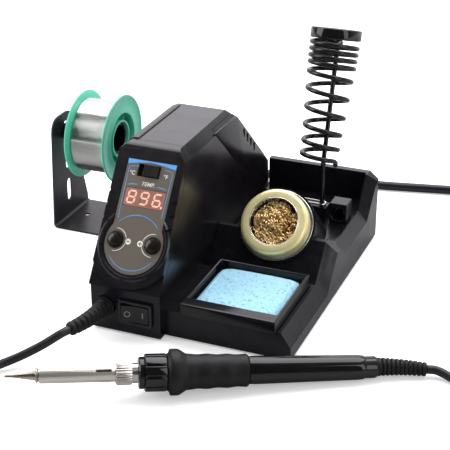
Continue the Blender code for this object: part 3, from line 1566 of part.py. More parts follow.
def spool_rod():
    """The spindle: a shoulder that keeps the spool off the bracket, then the bearing length."""
    start = -BRACKET_X + GAP
    shoulder = -SPOOL_LEFT - GAP - start
    reach = shoulder + GAP + SPOOL_WIDTH - 0.003
    bearing = HUB_RADIUS - HUB_WALL - RUN
    profile = [
        (0.0027, 0),
        (0.0060, 0),
        (0.0060, shoulder - 0.0015),
        (HUB_RADIUS + 0.0010, shoulder - 0.0015),
        (HUB_RADIUS + 0.0010, shoulder),
        (bearing, shoulder),
        (bearing, reach - 0.001),
        (bearing - 0.001, reach),
        (bearing - 0.002, reach),
        (bearing - 0.002, 0.006 + shoulder),
        (0.0027, 0.006 + shoulder),
    ]
    mesh = along_x(turned(profile, 16), start, SPOOL_Y, SPOOL_Z)
    return place("spool_rod", mesh, black_plastic())


def rod_bolt():
    """The bolt through the bracket's slot into the spindle."""
    head = -BRACKET_X - BRACKET_THICKNESS - GAP
    profile = [
        (0, -0.003),
        (0.0042, -0.003),
        (0.0046, -0.0022),
        (0.0046, 0),
        (0.0023, 0),
        (0.0023, 0.014),
        (0, 0.014),
    ]
    return place("rod_bolt", along_x(turned(profile, 12), head, SPOOL_Y, SPOOL_Z), steel())


def spool():
    """The moulded spool: two flanges, the drum, and a hub on four spokes."""
    width, flange, lip = SPOOL_WIDTH, FLANGE_THICKNESS, 0.0004
    profile = [
        (DRUM_RADIUS - 0.0016, 0),
        (FLANGE_RADIUS - lip, 0),
        (FLANGE_RADIUS, lip),
        (FLANGE_RADIUS, flange - lip),
        (FLANGE_RADIUS - lip, flange),
        (DRUM_RADIUS, flange),
        (DRUM_RADIUS, width - flange),
        (FLANGE_RADIUS - lip, width - flange),
        (FLANGE_RADIUS, width - flange + lip),
        (FLANGE_RADIUS, width - lip),
        (FLANGE_RADIUS - lip, width),
        (DRUM_RADIUS - 0.0016, width),
    ]
    pivot = bpy.data.objects["spool_pivot"]
    flat = Matrix.Rotation(math.pi / 2, 4, "Y")
    reel = place(
        "spool",
        moved(turned(profile, 24), turn=flat),
        finish("spool_green", (0.10, 0.62, 0.42), 0.35),
        parent=pivot,
    )
    inner = HUB_RADIUS - HUB_WALL
    tube_end = width - 0.0012
    hub = turned([(inner, 0.0012), (HUB_RADIUS, 0.0012), (HUB_RADIUS, tube_end), (inner, tube_end)], 18)
    add(reel, moved(hub, turn=flat), parent=pivot)
    for i in range(4):
        web = block((0.004, width - 0.004), (HUB_RADIUS - 0.0006, DRUM_RADIUS - 0.0008), (-0.0008, 0.0008))
        add(reel, web, parent=pivot, turn=(math.pi / 4 + i * math.pi / 2, 0, 0))
    return reel


def solder_core():
    """The inner layers of solder, a plain drum."""
    start = FLANGE_THICKNESS + GAP
    end = SPOOL_WIDTH - FLANGE_THICKNESS - GAP
    outer = SOLDER_LAYER - 2 * SOLDER_RADIUS - 0.0012
    mesh = turned([(DRUM_RADIUS + GAP, start), (outer, start), (outer, end), (DRUM_RADIUS + GAP, end)], 24)
    flat = Matrix.Rotation(math.pi / 2, 4, "Y")
    return place(
        "solder_core",
        moved(mesh, turn=flat),
        finish("solder_core", (0.55, 0.54, 0.52), 0.3, 1.0),
        parent=bpy.data.objects["spool_pivot"],
    )


def solder_points():
    """The outer layer's middle line: an even helix with a straight run at each end."""
    start = FLANGE_THICKNESS + GAP + SOLDER_RADIUS
    end = SPOOL_WIDTH - FLANGE_THICKNESS - GAP - SOLDER_RADIUS
    radius = SOLDER_LAYER - SOLDER_RADIUS
    count = SOLDER_TURNS * WINDING_POINTS
    points = []
    for i in range(count + 1):
        turn = 2 * math.pi * i / WINDING_POINTS
        points.append(
            Vector((start + (end - start) * i / count, radius * math.cos(turn), radius * math.sin(turn)))
        )
    run = 2 * SOLDER_RADIUS
    return [points[0] + Vector((0, 0, -run)), *points, points[-1] + Vector((0, 0, run))]


def solder_winding():
    points = solder_points()
    least_gap("solder_winding", points, SOLDER_RADIUS)
    wire = finish("solder_wire", (0.72, 0.71, 0.69), 0.25, 1.0)
    return tube(
        "solder_winding",
        points,
        SOLDER_RADIUS,
        wire,
        resolution=1,
        parent=bpy.data.objects["spool_pivot"],
    )


# ---------------------------------------------------------------- iron


def iron_guide():
    """The iron's own frame: its tip at 0 and Z along it to the cord, lying on the grip's flare."""
    heading = Vector((math.cos(IRON_HEADING), math.sin(IRON_HEADING), 0)) * math.cos(IRON_PITCH)
    heading.z = -math.sin(IRON_PITCH)
    touch = Vector((*IRON_GRIP_AT, FLARE_RADIUS / math.cos(IRON_PITCH) + 0.0001))
    turn = (0, math.pi / 2 + IRON_PITCH, IRON_HEADING)
    return guide("iron_frame", touch - heading * IRON_FLARE, turn, bpy.data.objects["station"])


def iron_piece(name, profile, material, steps=16):
    return place(name, turned(profile, steps), material, parent=bpy.data.objects["iron_frame"])


def iron_tip():
    """The cone, its shoulder and the sleeve that slips over the heater inside the barrel."""
    sleeve = BARREL_RADIUS - BARREL_WALL - RUN
    bore = 0.0021
    profile = [
        (0, 0),
        (0.0004, 0.0004),
        (TIP_RADIUS - 0.0008, TIP_CONE - 0.002),
        (TIP_RADIUS, TIP_CONE - 0.0006),
        (TIP_RADIUS, TIP_CONE),
        (sleeve, TIP_CONE + 0.0008),
        (sleeve, 0.040),
        (bore, 0.040),
        (bore, TIP_CONE + 0.004),
        (0, TIP_CONE + 0.003),
    ]
    return iron_piece("iron_tip", profile, finish("tip_plate", (0.66, 0.64, 0.60), 0.30, 1.0))


def iron_heater():
    """The ceramic heater in the tip's bore."""
    profile = [(0, TIP_CONE + 0.0045), (0.0017, TIP_CONE + 0.0045), (0.0017, 0.0640), (0, 0.0640)]
    return iron_piece("iron_heater", profile, finish("ceramic", (0.85, 0.83, 0.80), 0.6), 10)


def iron_barrel():
    """The tube round the tip, with cooling slots near the nut."""
    start = TIP_CONE + 0.0008 + GAP
    inner = BARREL_RADIUS - BARREL_WALL
    profile = [
        (inner, start),
        (BARREL_RADIUS - 0.0003, start),
        (BARREL_RADIUS, start + 0.0008),
        (BARREL_RADIUS, BARREL_END - GAP),
        (BARREL_RADIUS + 0.0008, BARREL_END - GAP),
        (BARREL_RADIUS + 0.0008, BARREL_END + 0.0012),
        (inner, BARREL_END + 0.0012),
    ]
    barrel = iron_piece("iron_barrel", profile, finish("barrel_steel", (0.70, 0.66, 0.60), 0.26, 1.0))
    frame = bpy.data.objects["iron_frame"]
    for i in range(2):
        outline = slot_outline(0.0016, 0.0085, (0, BARREL_END - 0.0065))
        cut(barrel, prism(outline, -0.01, 0.01, "Y"), parent=frame, turn=(0, 0, math.radians(35 + 90 * i)))
    return barrel


def iron_nut():
    """The knurled nut that holds the barrel; its teeth run along it."""
    teeth = 16
    room = BARREL_RADIUS + 0.0008 + RUN
    rows = []
    for height, scale in (
        (BARREL_END, 0.94), (BARREL_END + 0.0010, 1.0), (NUT_END - 0.0008, 1.0), (NUT_END, 0.95)
    ):
        ring = []
        for i in range(2 * teeth):
            radius = NUT_RADIUS * scale - (0.0004 if i % 2 else 0)
            angle = math.pi * i / teeth
            ring.append((radius * math.cos(angle), radius * math.sin(angle), height))
        rows.append(ring)
    frame = bpy.data.objects["iron_frame"]
    nut = place("iron_nut", loft(*rows), steel(), parent=frame, smooth=False)
    deep = BARREL_END + 0.0012 + GAP
    bore = [(0, 0.02), (room, 0.02), (room, deep), (room - 0.0001, 0.10), (0, 0.10)]
    cut(nut, turned(bore, 16), parent=frame)
    return nut


def iron_collar():
    """The thin ring between nut and handle, whose inner tube carries the nut."""
    inner = 0.0026
    hold = BARREL_RADIUS + 0.0008 + RUN - 0.0001 - RUN
    profile = [
        (inner, BARREL_END + 0.0012 + GAP),
        (hold, BARREL_END + 0.0012 + GAP),
        (hold, NUT_END + GAP),
        (0.0054, NUT_END + GAP),
        (0.0054, COLLAR_END),
        (inner, COLLAR_END),
    ]
    return iron_piece("iron_collar", profile, steel())


def iron_sleeve():
    """The glossy front of the handle: a plain ring, then a body with lengthwise flutes."""
    start, lobes = COLLAR_END + GAP, 10
    rows = (
        (0.0078, 0, start),
        (0.0085, 0, start + 0.0008),
        (0.0085, 0, start + 0.0028),
        (SLEEVE_RADIUS - 0.0006, 0.5, start + 0.0032),
        (SLEEVE_RADIUS, 1, start + 0.0042),
        (SLEEVE_RADIUS, 1, SLEEVE_END - 0.0006),
        (SLEEVE_RADIUS - 0.0005, 1, SLEEVE_END),
    )
    rings = []
    for radius, fluted, height in rows:
        ring = []
        for i in range(4 * lobes):
            reach = radius - fluted * (FLUTE_DEPTH if i % 4 > 1 else 0)
            angle = 2 * math.pi * (i + (0.2 if i % 2 else -0.2)) / (4 * lobes)
            ring.append((reach * math.cos(angle), reach * math.sin(angle), height))
        rings.append(ring)
    frame = bpy.data.objects["iron_frame"]
    return place("iron_sleeve", loft(*rings), gloss_black(), parent=frame, smooth=False)


def iron_grip():
    """The soft grip: a flare at the front, then a body with shallow waves."""
    start = SLEEVE_END + GAP
    profile = [(0, start), (0.0098, start), (FLARE_RADIUS - 0.0006, start + 0.0022)]
    profile += [
        (FLARE_RADIUS, IRON_FLARE),
        (FLARE_RADIUS - 0.0003, IRON_FLARE + 0.0016),
        (0.0104, IRON_FLARE + 0.0040),
    ]
    body_start, body_end = IRON_FLARE + 0.0060, GRIP_END - 0.0010
    waves = 12
    for i in range(waves + 1):
        t = i / waves
        radius = GRIP_RADIUS * (1.02 - 0.09 * t) + 0.00022 * math.cos(2 * math.pi * 3 * t)
        profile.append((radius, body_start + (body_end - body_start) * t))
    profile += [(0.0080, GRIP_END), (0, GRIP_END)]
    return iron_piece("iron_grip", profile, soft_rubber())


def iron_handle():
    """The glossy tapering handle with its neck."""
    start = GRIP_END + GAP
    length = HANDLE_END - start
    profile = [(0, start), (HANDLE_RADIUS + 0.0003, start), (HANDLE_RADIUS + 0.0004, start + 0.0010)]
    for t in (0.25, 0.5, 0.75):
        profile.append((HANDLE_RADIUS * (1.04 - 0.15 * t), start + length * t))
    profile += [
        (0.0066, HANDLE_END - 0.0078),
        (0.0063, HANDLE_END - 0.0070),
        (0.0060, HANDLE_END - 0.0064),
        (0.0060, HANDLE_END - 0.0012),
        (0.0055, HANDLE_END),
        (0, HANDLE_END),
    ]
    return iron_piece("iron_handle", profile, gloss_black())


def relief_path():
    """The relief on the iron, in the iron's frame: it bends a little towards the front."""
    start = HANDLE_END + GAP
    far = RELIEF_LENGTH
    return [
        (0, 0, start),
        (0, 0, start + 0.12 * far),
        (0, -0.0012, start + 0.55 * far),
        (0, -0.0038, start + 0.98 * far),
    ]


# ---------------------------------------------------------------- cords


def unit(a, b):
    """The direction from a to b."""
    return (Vector(b) - Vector(a)).normalized()


def coil_route(centre, mean, turns, radius, start, way):
    """A tied coil in two layers: it spirals in on the floor, climbs as it turns back, and spirals out.

    way is 1 where it turns counter-clockwise from above, and -1 where it turns clockwise; each end
    runs straight for one diameter.
    """
    pitch = 2 * radius + COIL_GAP
    inner = mean - pitch * turns / 4
    half = math.pi * turns
    count = round(turns * LOOP_POINTS)
    points = []
    for i in range(count + 1):
        t = -half + 2 * half * i / count
        swing = min(max(t / math.pi + 0.5, 0), 1)
        lift = swing * swing * (3 - 2 * swing)
        out = inner + pitch * abs(t) / (2 * math.pi)
        angle = start + way * (t + half)
        height = radius + FLOOR_GAP + pitch * lift
        points.append(Vector((centre[0] + out * math.cos(angle), centre[1] + out * math.sin(angle), height)))
    lead = 2 * radius
    first, last = unit(points[1], points[0]), unit(points[-2], points[-1])
    return [points[0] + first * lead, *points, points[-1] + last * lead]


def iron_coil_points():
    return coil_route(IRON_COIL, IRON_COIL_RADIUS, IRON_COIL_TURNS, IRON_CORD_RADIUS, math.radians(-90), 1)


def mains_coil_points():
    return coil_route(
        MAINS_COIL, MAINS_COIL_RADIUS, MAINS_COIL_TURNS, MAINS_CORD_RADIUS, math.radians(102.7), -1
    )


def cord_between(start, middle, end, lead):
    """A free stretch from one square end to another, a gap away from each.

    start and end are (point, direction out of what it meets); middle is the route between them.
    """
    (a, out_a), (b, out_b) = start, end
    first, last = a + out_a * GAP, b + out_b * GAP
    route = [first, first + out_a * lead, *middle, last + out_b * lead, last]
    length = sum((Vector(q) - Vector(p)).length for p, q in zip(route, route[1:]))
    steps = min(80, max(12, round(length / (2.3 * lead))))
    return smooth_route(route, steps, lead)


def path_end(path, ribs, frame=None):
    """The far end of a relief's path, and the way out of it."""
    points = [Vector(p) for p in smooth_route(path, 2 * ribs + 3)]
    end, way = points[-1], unit(points[-2], points[-1])
    if frame:
        matrix = bpy.data.objects[frame].matrix_basis
        return matrix @ end, (matrix.to_3x3() @ way).normalized()
    return end, way


def floor_route(*spots, radius):
    """Places on the floor that a cord passes through."""
    return [Vector((x, y, radius + FLOOR_GAP)) for x, y in spots]


def iron_cord():
    """The iron's cord: from the base's front round the left, its coil in front, and on to the iron."""
    radius, rubber = IRON_CORD_RADIUS, finish("cord_rubber", (0.03, 0.03, 0.032), 0.5)
    coil = iron_coil_points()
    least_gap("iron_cord_coil", coil, radius)
    tube("iron_cord_coil", coil, radius, rubber, resolution=1)
    left = [
        Vector((-0.1253, -0.0452, 0.0120)),
        Vector((-0.1338, -0.0546, 0.0076)),
        Vector((-0.1462, -0.0678, 0.0038)),
    ]
    left += floor_route(
        (-0.156, -0.086),
        (-0.156, -0.115),
        (-0.139, -0.146),
        (-0.106, -0.170),
        (-0.062, -0.183),
        (-0.020, -0.186),
        radius=radius,
    )
    into = (coil[0], unit(coil[1], coil[0]))
    route = cord_between(path_end(outlet_path(), OUTLET_RIBS), left, into, 2 * radius)
    tube("iron_cord_left", route, radius, rubber, resolution=2)
    out = (coil[-1], unit(coil[-2], coil[-1]))
    right = [Vector((0.0560, -0.128, 0.0066)), Vector((0.0640, -0.110, 0.0040))]
    right += floor_route(
        (0.080, -0.091),
        (0.101, -0.070),
        (0.117, -0.043),
        (0.120, -0.016),
        (0.111, 0.004),
        (0.098, 0.0125),
        (0.0864, 0.0140),
        radius=radius,
    )
    route = cord_between(out, right, path_end(relief_path(), RELIEF_RIBS, "iron_frame"), 2 * radius)
    tube("iron_cord_right", route, radius, rubber, resolution=2)


def mains_cord():
    """The mains lead: from the base's back behind the station to its coil, and on to the plug."""
    radius, rubber = MAINS_CORD_RADIUS, finish("mains_pvc", (0.02, 0.02, 0.022), 0.42)
    coil = mains_coil_points()
    least_gap("mains_coil", coil, radius)
    tube("mains_coil", coil, radius, rubber, resolution=1)
    middle = [Vector((-0.0966, 0.222, 0.0095)), Vector((-0.0880, 0.2375, 0.0048))]
    middle += floor_route(
        (-0.070, 0.2445),
        (-0.046, 0.2460),
        (-0.0207, 0.2470),
        (-0.0039, 0.2503),
        (0.0136, 0.2542),
        (0.0309, 0.2581),
        (0.056, 0.2638),
        radius=radius,
    )
    into = (coil[0], unit(coil[1], coil[0]))
    tube(
        "mains_cord",
        cord_between(path_end(inlet_path(), INLET_RIBS), middle, into, 2 * radius),
        radius,
        rubber,
        resolution=2,
    )
    out = (coil[-1], unit(coil[-2], coil[-1]))
    way = out[1]
    plug_back = coil[-1] + way * TAIL_LENGTH
    plug_back.z = PLUG_HALF + FLOOR_GAP
    tail = cord_between(out, [], (plug_back, -way), 2 * radius)
    tube("mains_tail", tail, radius, rubber, resolution=2)
    mains_plug(plug_back, way)


def mains_plug(at, way):
    """A moulded plug with two flat blades and an earth pin, lying on its side."""
    turn = (0, math.pi / 2, math.atan2(way.y, way.x))
    sections = (
        (0.015, 0.0100, 0.0100, 0.0045),
        (0.024, 0.0200, 0.0190, 0.0060),
        (0.038, 0.0270, 0.0264, 0.0050),
        (0.046, 0.0270, 0.0264, 0.0050),
    )
    wide = 2 * PLUG_HALF / 0.0264
    loops = [
        [(a * wide, b * wide, z) for a, b in rounded(high, width, corner, 3)]
        for z, width, high, corner in sections
    ]
    plug = place("mains_plug", loft(*loops), finish("plug_pvc", (0.02, 0.02, 0.022), 0.4), at=at, turn=turn)
    neck = [
        (0, 0),
        (0.0046, 0),
        (0.0050, 0.003),
        (0.0046, 0.006),
        (0.0052, 0.009),
        (0.0050, 0.012),
        (0.0054, 0.018),
        (0, 0.018),
    ]
    add(plug, turned(neck, 16), at=at, turn=turn)
    for side in (-1, 1):
        y = side * PLUG_BLADES / 2
        blade = block((-0.0070, -0.0006), (y - 0.00075, y + 0.00075), (0.044, 0.0635))
        add(plug, blade, at=at, turn=turn)
    add(
        plug,
        turned([(0, 0.044), (0.0024, 0.044), (0.0024, 0.065), (0.0014, 0.0665), (0, 0.0665)], 14),
        at=at + Vector((0, 0, -0.0081)),
        turn=turn,
    )
    return plug


# ---------------------------------------------------------------- the whole part


def pivots():
    """The axes of the pieces that turn."""
    station = guide("station", STATION_AT)
    guide("holder_pivot", (-HOLDER_X, HOLDER_Y, SHELF_HEIGHT), parent=station)
    guide("spool_pivot", (-SPOOL_LEFT, SPOOL_Y, SPOOL_Z), parent=station)
    guide("rocker_pivot", (-ROCKER_X, -BLOCK_FRONT + 0.0008, ROCKER_Z), parent=station)
    panel_guide()
    iron_guide()


def build():
    """Makes every piece of the station."""
    clear_scene()
    pivots()
    for make in (
        base_shell, base_plate, rubber_feet, base_screws, sponge_tray, sponge, cleaner_cup, cleaner_lid,
        brass_wool, holder_wire, holder_collar, holder_clip, spare_socket, socket_clip,
        front_bezel, housing_body, left_cheek, rear_cover, panel_overlay, led_window, led_display,
        display_board, unit_switch, unit_slider, power_frame, power_rocker,
        control_board, heat_sink, spool_bracket, spool_rod, rod_bolt,
        spool, solder_core, solder_winding, iron_tip, iron_heater, iron_barrel, iron_nut,
        iron_collar, iron_sleeve, iron_grip, iron_handle,
    ):
        make()
    push_button("minus_button", -1)
    push_button("plus_button", 1)
    ribbed_relief(
        "iron_relief",
        relief_path(),
        RELIEF_RIBS,
        RELIEF_RADIUS,
        0.0038,
        1.0,
        bpy.data.objects["iron_frame"],
    )
    ribbed_relief("iron_cord_outlet", outlet_path(), OUTLET_RIBS, 0.0052, 0.0040, 1.25)
    ribbed_relief("mains_outlet", inlet_path(), INLET_RIBS, 0.0062, 0.0048, 1.25)
    iron_cord()
    mains_cord()
    bpy.context.view_layer.update()


build()
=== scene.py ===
"""A soldering iron station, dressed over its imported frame: unit, stand, spool, iron and cords."""
import json
import logging
import math
from dataclasses import dataclass, field
from enum import Enum
from itertools import accumulate
from typing import Optional, Protocol, Sequence

import bmesh
import bpy
import numpy as np
from mathutils import Matrix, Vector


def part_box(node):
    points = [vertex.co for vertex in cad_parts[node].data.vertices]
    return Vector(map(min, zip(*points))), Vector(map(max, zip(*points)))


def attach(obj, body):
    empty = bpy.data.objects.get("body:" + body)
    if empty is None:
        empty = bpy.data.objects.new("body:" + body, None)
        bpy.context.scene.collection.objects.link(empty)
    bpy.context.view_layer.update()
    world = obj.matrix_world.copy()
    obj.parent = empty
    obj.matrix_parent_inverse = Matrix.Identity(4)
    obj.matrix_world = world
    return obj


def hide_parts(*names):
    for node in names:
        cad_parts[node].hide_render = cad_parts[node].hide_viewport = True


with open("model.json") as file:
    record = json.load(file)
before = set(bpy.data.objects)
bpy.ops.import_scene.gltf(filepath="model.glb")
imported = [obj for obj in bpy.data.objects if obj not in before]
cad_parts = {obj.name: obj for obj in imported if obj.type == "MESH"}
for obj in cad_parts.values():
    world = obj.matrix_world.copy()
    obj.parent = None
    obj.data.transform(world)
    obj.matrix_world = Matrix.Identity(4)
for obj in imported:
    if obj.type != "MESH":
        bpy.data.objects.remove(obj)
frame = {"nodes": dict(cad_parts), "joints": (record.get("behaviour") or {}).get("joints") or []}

log = logging.getLogger("station")
Array = np.ndarray
Colour = tuple[float, float, float]
Profile = list[tuple[float, float]]
End = tuple[Array, Array]  # a point of a path, and the way out of it
MM = 0.001
SPAN_STEPS = 12  # points on each span of a smooth route
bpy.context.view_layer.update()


# ------------------------------------------------------------------ places


def turned_x(angle: float) -> Array:
    """The matrix of a turn about X by angle, in radians."""
    c, s = math.cos(angle), math.sin(angle)
    return np.array([[1, 0, 0], [0, c, -s], [0, s, c]], float)


def turned_y(angle: float) -> Array:
    """The matrix of a turn about Y by angle, in radians."""
    c, s = math.cos(angle), math.sin(angle)
    return np.array([[c, 0, s], [0, 1, 0], [-s, 0, c]], float)


def turned_z(angle: float) -> Array:
    """The matrix of a turn about Z by angle, in radians."""
    c, s = math.cos(angle), math.sin(angle)
    return np.array([[c, -s, 0], [s, c, 0], [0, 0, 1]], float)


@dataclass(frozen=True)
class Datum:
    """A local frame that pieces are worked out in: its origin in metres and its axes as columns."""

    origin: Array
    axes: Array = field(default_factory=lambda: np.eye(3))

    def place(self, points: Array) -> Array:
        """Puts local points (millimetres, any shape ending in 3) in the object's own metres."""
        return (np.asarray(points, float) * MM) @ self.axes.T + self.origin

    def at(self, x: float, y: float, z: float, axes: Optional[Array] = None) -> "Datum":
        """A frame at a local point in millimetres, turned by local axes where they are given.

        Args:
            x, y, z: the new origin in this frame, in millimetres.
            axes: the new frame's axes as columns in this frame.

        Returns:
            The new frame.
        """
        turn = self.axes if axes is None else self.axes @ axes
        return Datum(self.place(np.array([x, y, z])), turn)


def joint_point(name: str) -> Array:
    """The point that a joint of the frame turns about."""
    found = next(j for j in frame["joints"] if j["name"] == name)
    return np.array(found["pos_m"], float)


RAMP = math.radians(48)
STATION = Datum(joint_point("holder_turn") - np.array([-26, 132, 27]) * MM)
PANEL = STATION.at(-97.5, 39.7, 100, turned_x(math.radians(54)))
CLEANER = STATION.at(-37.7, 60 + 31.6 * math.cos(RAMP), 18 + 31.6 * math.sin(RAMP), turned_x(RAMP))
SPOOL = Datum(joint_point("spool_spin"), turned_y(math.pi / 2))
IRON_TURN = turned_z(math.radians(29.9)) @ turned_y(math.pi / 2 + math.radians(3.3))
IRON = Datum(joint_point("nut_turn"), IRON_TURN)
ROCKER = Datum(joint_point("power_rock"), turned_z(math.radians(7)))


# ------------------------------------------------------------------ surfaces


def skin(name: str, points: Array, closed_rows: bool = False, sharp: float = 38.0) -> bpy.types.Object:
    """A closed surface over a grid of rings.

    Each row of points is a ring, joined to the next row by quads; the first and last rings are
    closed by a face, unless the rows themselves close round.

    Args:
        name: the piece's name.
        points: rows x columns x 3, in metres.
        closed_rows: whether the last row joins the first.
        sharp: edges over this angle, in degrees, stay crisp.

    Returns:
        The new object, at the origin.
    """
    rows, cols = points.shape[:2]
    index = np.arange(rows * cols).reshape(rows, cols)
    right = np.roll(index, -1, axis=1)
    if closed_rows:
        quads = np.stack([index, right, np.roll(right, -1, 0), np.roll(index, -1, 0)], -1)
    else:
        quads = np.stack([index[:-1], right[:-1], right[1:], index[1:]], -1)
    faces = quads.reshape(-1, 4).tolist()
    if not closed_rows:
        faces += [index[0][::-1].tolist(), index[-1].tolist()]
    return finished(name, points.reshape(-1, 3), faces, sharp)


def finished(name: str, verts: Array, faces: Sequence[Sequence[int]], sharp: float) -> bpy.types.Object:
    """Makes an object of verts and faces: poles merged, faces outwards, smooth but for sharp edges.

    Args:
        name: the piece's name.
        verts: count x 3, in metres.
        faces: each face's corners, as places in verts.
        sharp: edges over this angle, in degrees, stay crisp.

    Returns:
        The new object, at the origin.
    """
    mesh = bpy.data.meshes.new(name)
    mesh.from_pydata(np.asarray(verts, float).tolist(), [], faces)
    form = bmesh.new()
    form.from_mesh(mesh)
    bmesh.ops.remove_doubles(form, verts=form.verts, dist=1e-7)
    bmesh.ops.dissolve_degenerate(form, edges=form.edges, dist=1e-8)
    bmesh.ops.recalc_face_normals(form, faces=form.faces)
    form.to_mesh(mesh)
    form.free()
    mesh.polygons.foreach_set("use_smooth", np.ones(len(mesh.polygons), bool))
    mesh.set_sharp_from_angle(angle=math.radians(sharp))
    piece = bpy.data.objects.new(name, mesh)
    bpy.context.scene.collection.objects.link(piece)
    return piece


def prisms(name: str, outlines: Array, low: float, high: float, datum: Datum) -> bpy.types.Object:
    """Several upright prisms in one piece, one for each outline.

    Args:
        name: the piece's name.
        outlines: count x corners x 2, in millimetres in the datum's plane.
        low: the foot's height over that plane, in millimetres.
        high: the top's height.
        datum: the frame that the outlines lie in.

    Returns:
        The new object.
    """
    count, corners = outlines.shape[:2]
    levels = np.broadcast_to(np.array([low, high])[None, :, None, None], (count, 2, corners, 1))
    flat = np.broadcast_to(outlines[:, None], (count, 2, corners, 2))
    points = datum.place(np.concatenate([flat, levels], -1))
    index = np.arange(count * 2 * corners).reshape(count, 2, corners)
    right = np.roll(index, -1, axis=2)
    sides = np.stack([index[:, 0], right[:, 0], right[:, 1], index[:, 1]], -1).reshape(-1, 4)
    faces = sides.tolist() + index[:, 0, ::-1].tolist() + index[:, 1].tolist()
    return finished(name, points.reshape(-1, 3), faces, 30)


def circle(x: float, y: float, radius: float, steps: int = 40) -> Array:
    """The corners of a circle about (x, y), in millimetres."""
    angle = np.linspace(0, 2 * np.pi, steps, endpoint=False)
    return np.stack([x + radius * np.cos(angle), y + radius * np.sin(angle)], -1)


def bars(rects: Sequence[tuple[float, float, float, float]]) -> Array:
    """The corners of upright rectangles: each middle, give or take half its width and height.

    Args:
        rects: middle x, middle y, width and height of each.

    Returns:
        count x 4 x 2 corners.
    """
    r = np.array(rects, float)
    sx, sy = np.array([-1, 1, 1, -1]) / 2, np.array([-1, -1, 1, 1]) / 2
    return np.stack([r[:, :1] + r[:, 2:3] * sx, r[:, 1:2] + r[:, 3:4] * sy], -1)


def lathe(profile: Profile, steps: int = 64) -> Array:
    """Rings of a turned piece: each (radius, height) of the profile becomes a circle about Z.

    Args:
        profile: the half section, in millimetres.
        steps: how many points each ring has.

    Returns:
        rows x steps x 3 points, in millimetres.
    """
    line = np.array(profile, float)
    angle = np.linspace(0, 2 * np.pi, steps, endpoint=False)
    x, y = np.outer(line[:, 0], np.cos(angle)), np.outer(line[:, 0], np.sin(angle))
    return np.stack([x, y, np.broadcast_to(line[:, 1:], x.shape)], -1)


def bow(x: float, y: float, radius: float, start: float, end: float, steps: int = 5) -> Profile:
    """Points of a profile's rounded corner: an arc about (x, y) from start to end, in degrees."""
    angle = np.radians(np.linspace(start, end, steps))
    return list(zip((x + radius * np.cos(angle)).tolist(), (y + radius * np.sin(angle)).tolist()))


def spun(name: str, profile: Profile, datum: Datum, steps: int = 64, ring: bool = False,
         sharp: float = 38.0) -> bpy.types.Object:
    """A turned piece in a datum; ring says that the profile closes on itself round a hole."""
    return skin(name, datum.place(lathe(profile, steps)), closed_rows=ring, sharp=sharp)


def smooth_route(points: Array, steps: int, lead: float = 0.0) -> Array:
    """A centripetal Catmull-Rom curve through the points, evenly spaced between its two leads.

    Each span blends lines through its two ends and their neighbours, timed by the square root
    of the distances between them.

    Args:
        points: count x 3, in metres.
        steps: how many points the result has.
        lead: the length of the straight run kept at each end.

    Returns:
        steps x 3 points.
    """
    p = np.concatenate([[2 * points[0] - points[1]], points, [2 * points[-1] - points[-2]]])
    gap = np.sqrt(np.linalg.norm(np.diff(p, axis=0), axis=1))
    a, b, c, d = p[:-3], p[1:-2], p[2:-1], p[3:]
    t1, t2, t3 = gap[:-2], gap[:-2] + gap[1:-1], gap[:-2] + gap[1:-1] + gap[2:]
    share = np.linspace(0, 1, SPAN_STEPS, endpoint=False)
    t = (t1[:, None] + (t2 - t1)[:, None] * share)[..., None]
    t1, t2, t3 = t1[:, None, None], t2[:, None, None], t3[:, None, None]
    a, b, c, d = a[:, None], b[:, None], c[:, None], d[:, None]
    low = (t1 - t) / t1 * a + t / t1 * b
    mid = (t2 - t) / (t2 - t1) * b + (t - t1) / (t2 - t1) * c
    top = (t3 - t) / (t3 - t2) * c + (t - t2) / (t3 - t2) * d
    first = (t2 - t) / t2 * low + t / t2 * mid
    second = (t3 - t) / (t3 - t1) * mid + (t - t1) / (t3 - t1) * top
    line = ((t2 - t) / (t2 - t1) * first + (t - t1) / (t2 - t1) * second).reshape(-1, 3)
    line = np.concatenate([line, points[-1:]])
    along = np.concatenate([[0], np.cumsum(np.linalg.norm(np.diff(line, axis=0), axis=1))])
    at = np.linspace(0, along[-1], steps)
    if lead:
        at = np.concatenate([[0], np.linspace(lead, along[-1] - lead, steps - 2), [along[-1]]])
    return np.stack([np.interp(at, along, line[:, k]) for k in range(3)], axis=1)


def run_length(path: Array) -> float:
    """The length of a path of points."""
    return float(np.linalg.norm(np.diff(path, axis=0), axis=1).sum())


def resampled(path: Array, step: float) -> Array:
    """The path again, as a smooth curve with a point every step metres."""
    return smooth_route(path, max(8, round(run_length(path) / step)))


def unit(vector: Array) -> Array:
    """The vector at length 1, along its last axis."""
    return vector / np.linalg.norm(vector, axis=-1, keepdims=True)


def tube_rings(path: Array, radius: Array, sides: int) -> Array:
    """Rings round a path: each is a circle of its own radius, square to the path.

    The rings' first direction is carried from point to point, so the tube doesn't twist.

    Args:
        path: count x 3 points, in metres.
        radius: one radius for each point, in metres.
        sides: how many points each ring has.

    Returns:
        count x sides x 3 points.
    """
    ahead = unit(np.gradient(path, axis=0))
    across = np.cross(ahead[0], [0.31, 0.17, 0.93])

    def carried(before: Array, way: Array) -> Array:
        """The last direction, made square to the path's next way."""
        return unit(before - way * (before @ way))

    first = np.array(list(accumulate(ahead[1:], carried, initial=unit(across))))
    second = np.cross(ahead, first)
    angle = np.linspace(0, 2 * np.pi, sides, endpoint=False)[None, :, None]
    ring = first[:, None] * np.cos(angle) + second[:, None] * np.sin(angle)
    return path[:, None] + ring * np.broadcast_to(radius, (len(path),))[:, None, None]


def tube(name: str, path: Array, radius: float | Array, sides: int = 14) -> bpy.types.Object:
    """A round tube along a path in metres, with flat ends."""
    return skin(name, tube_rings(path, np.broadcast_to(radius, (len(path),)), sides), sharp=60)


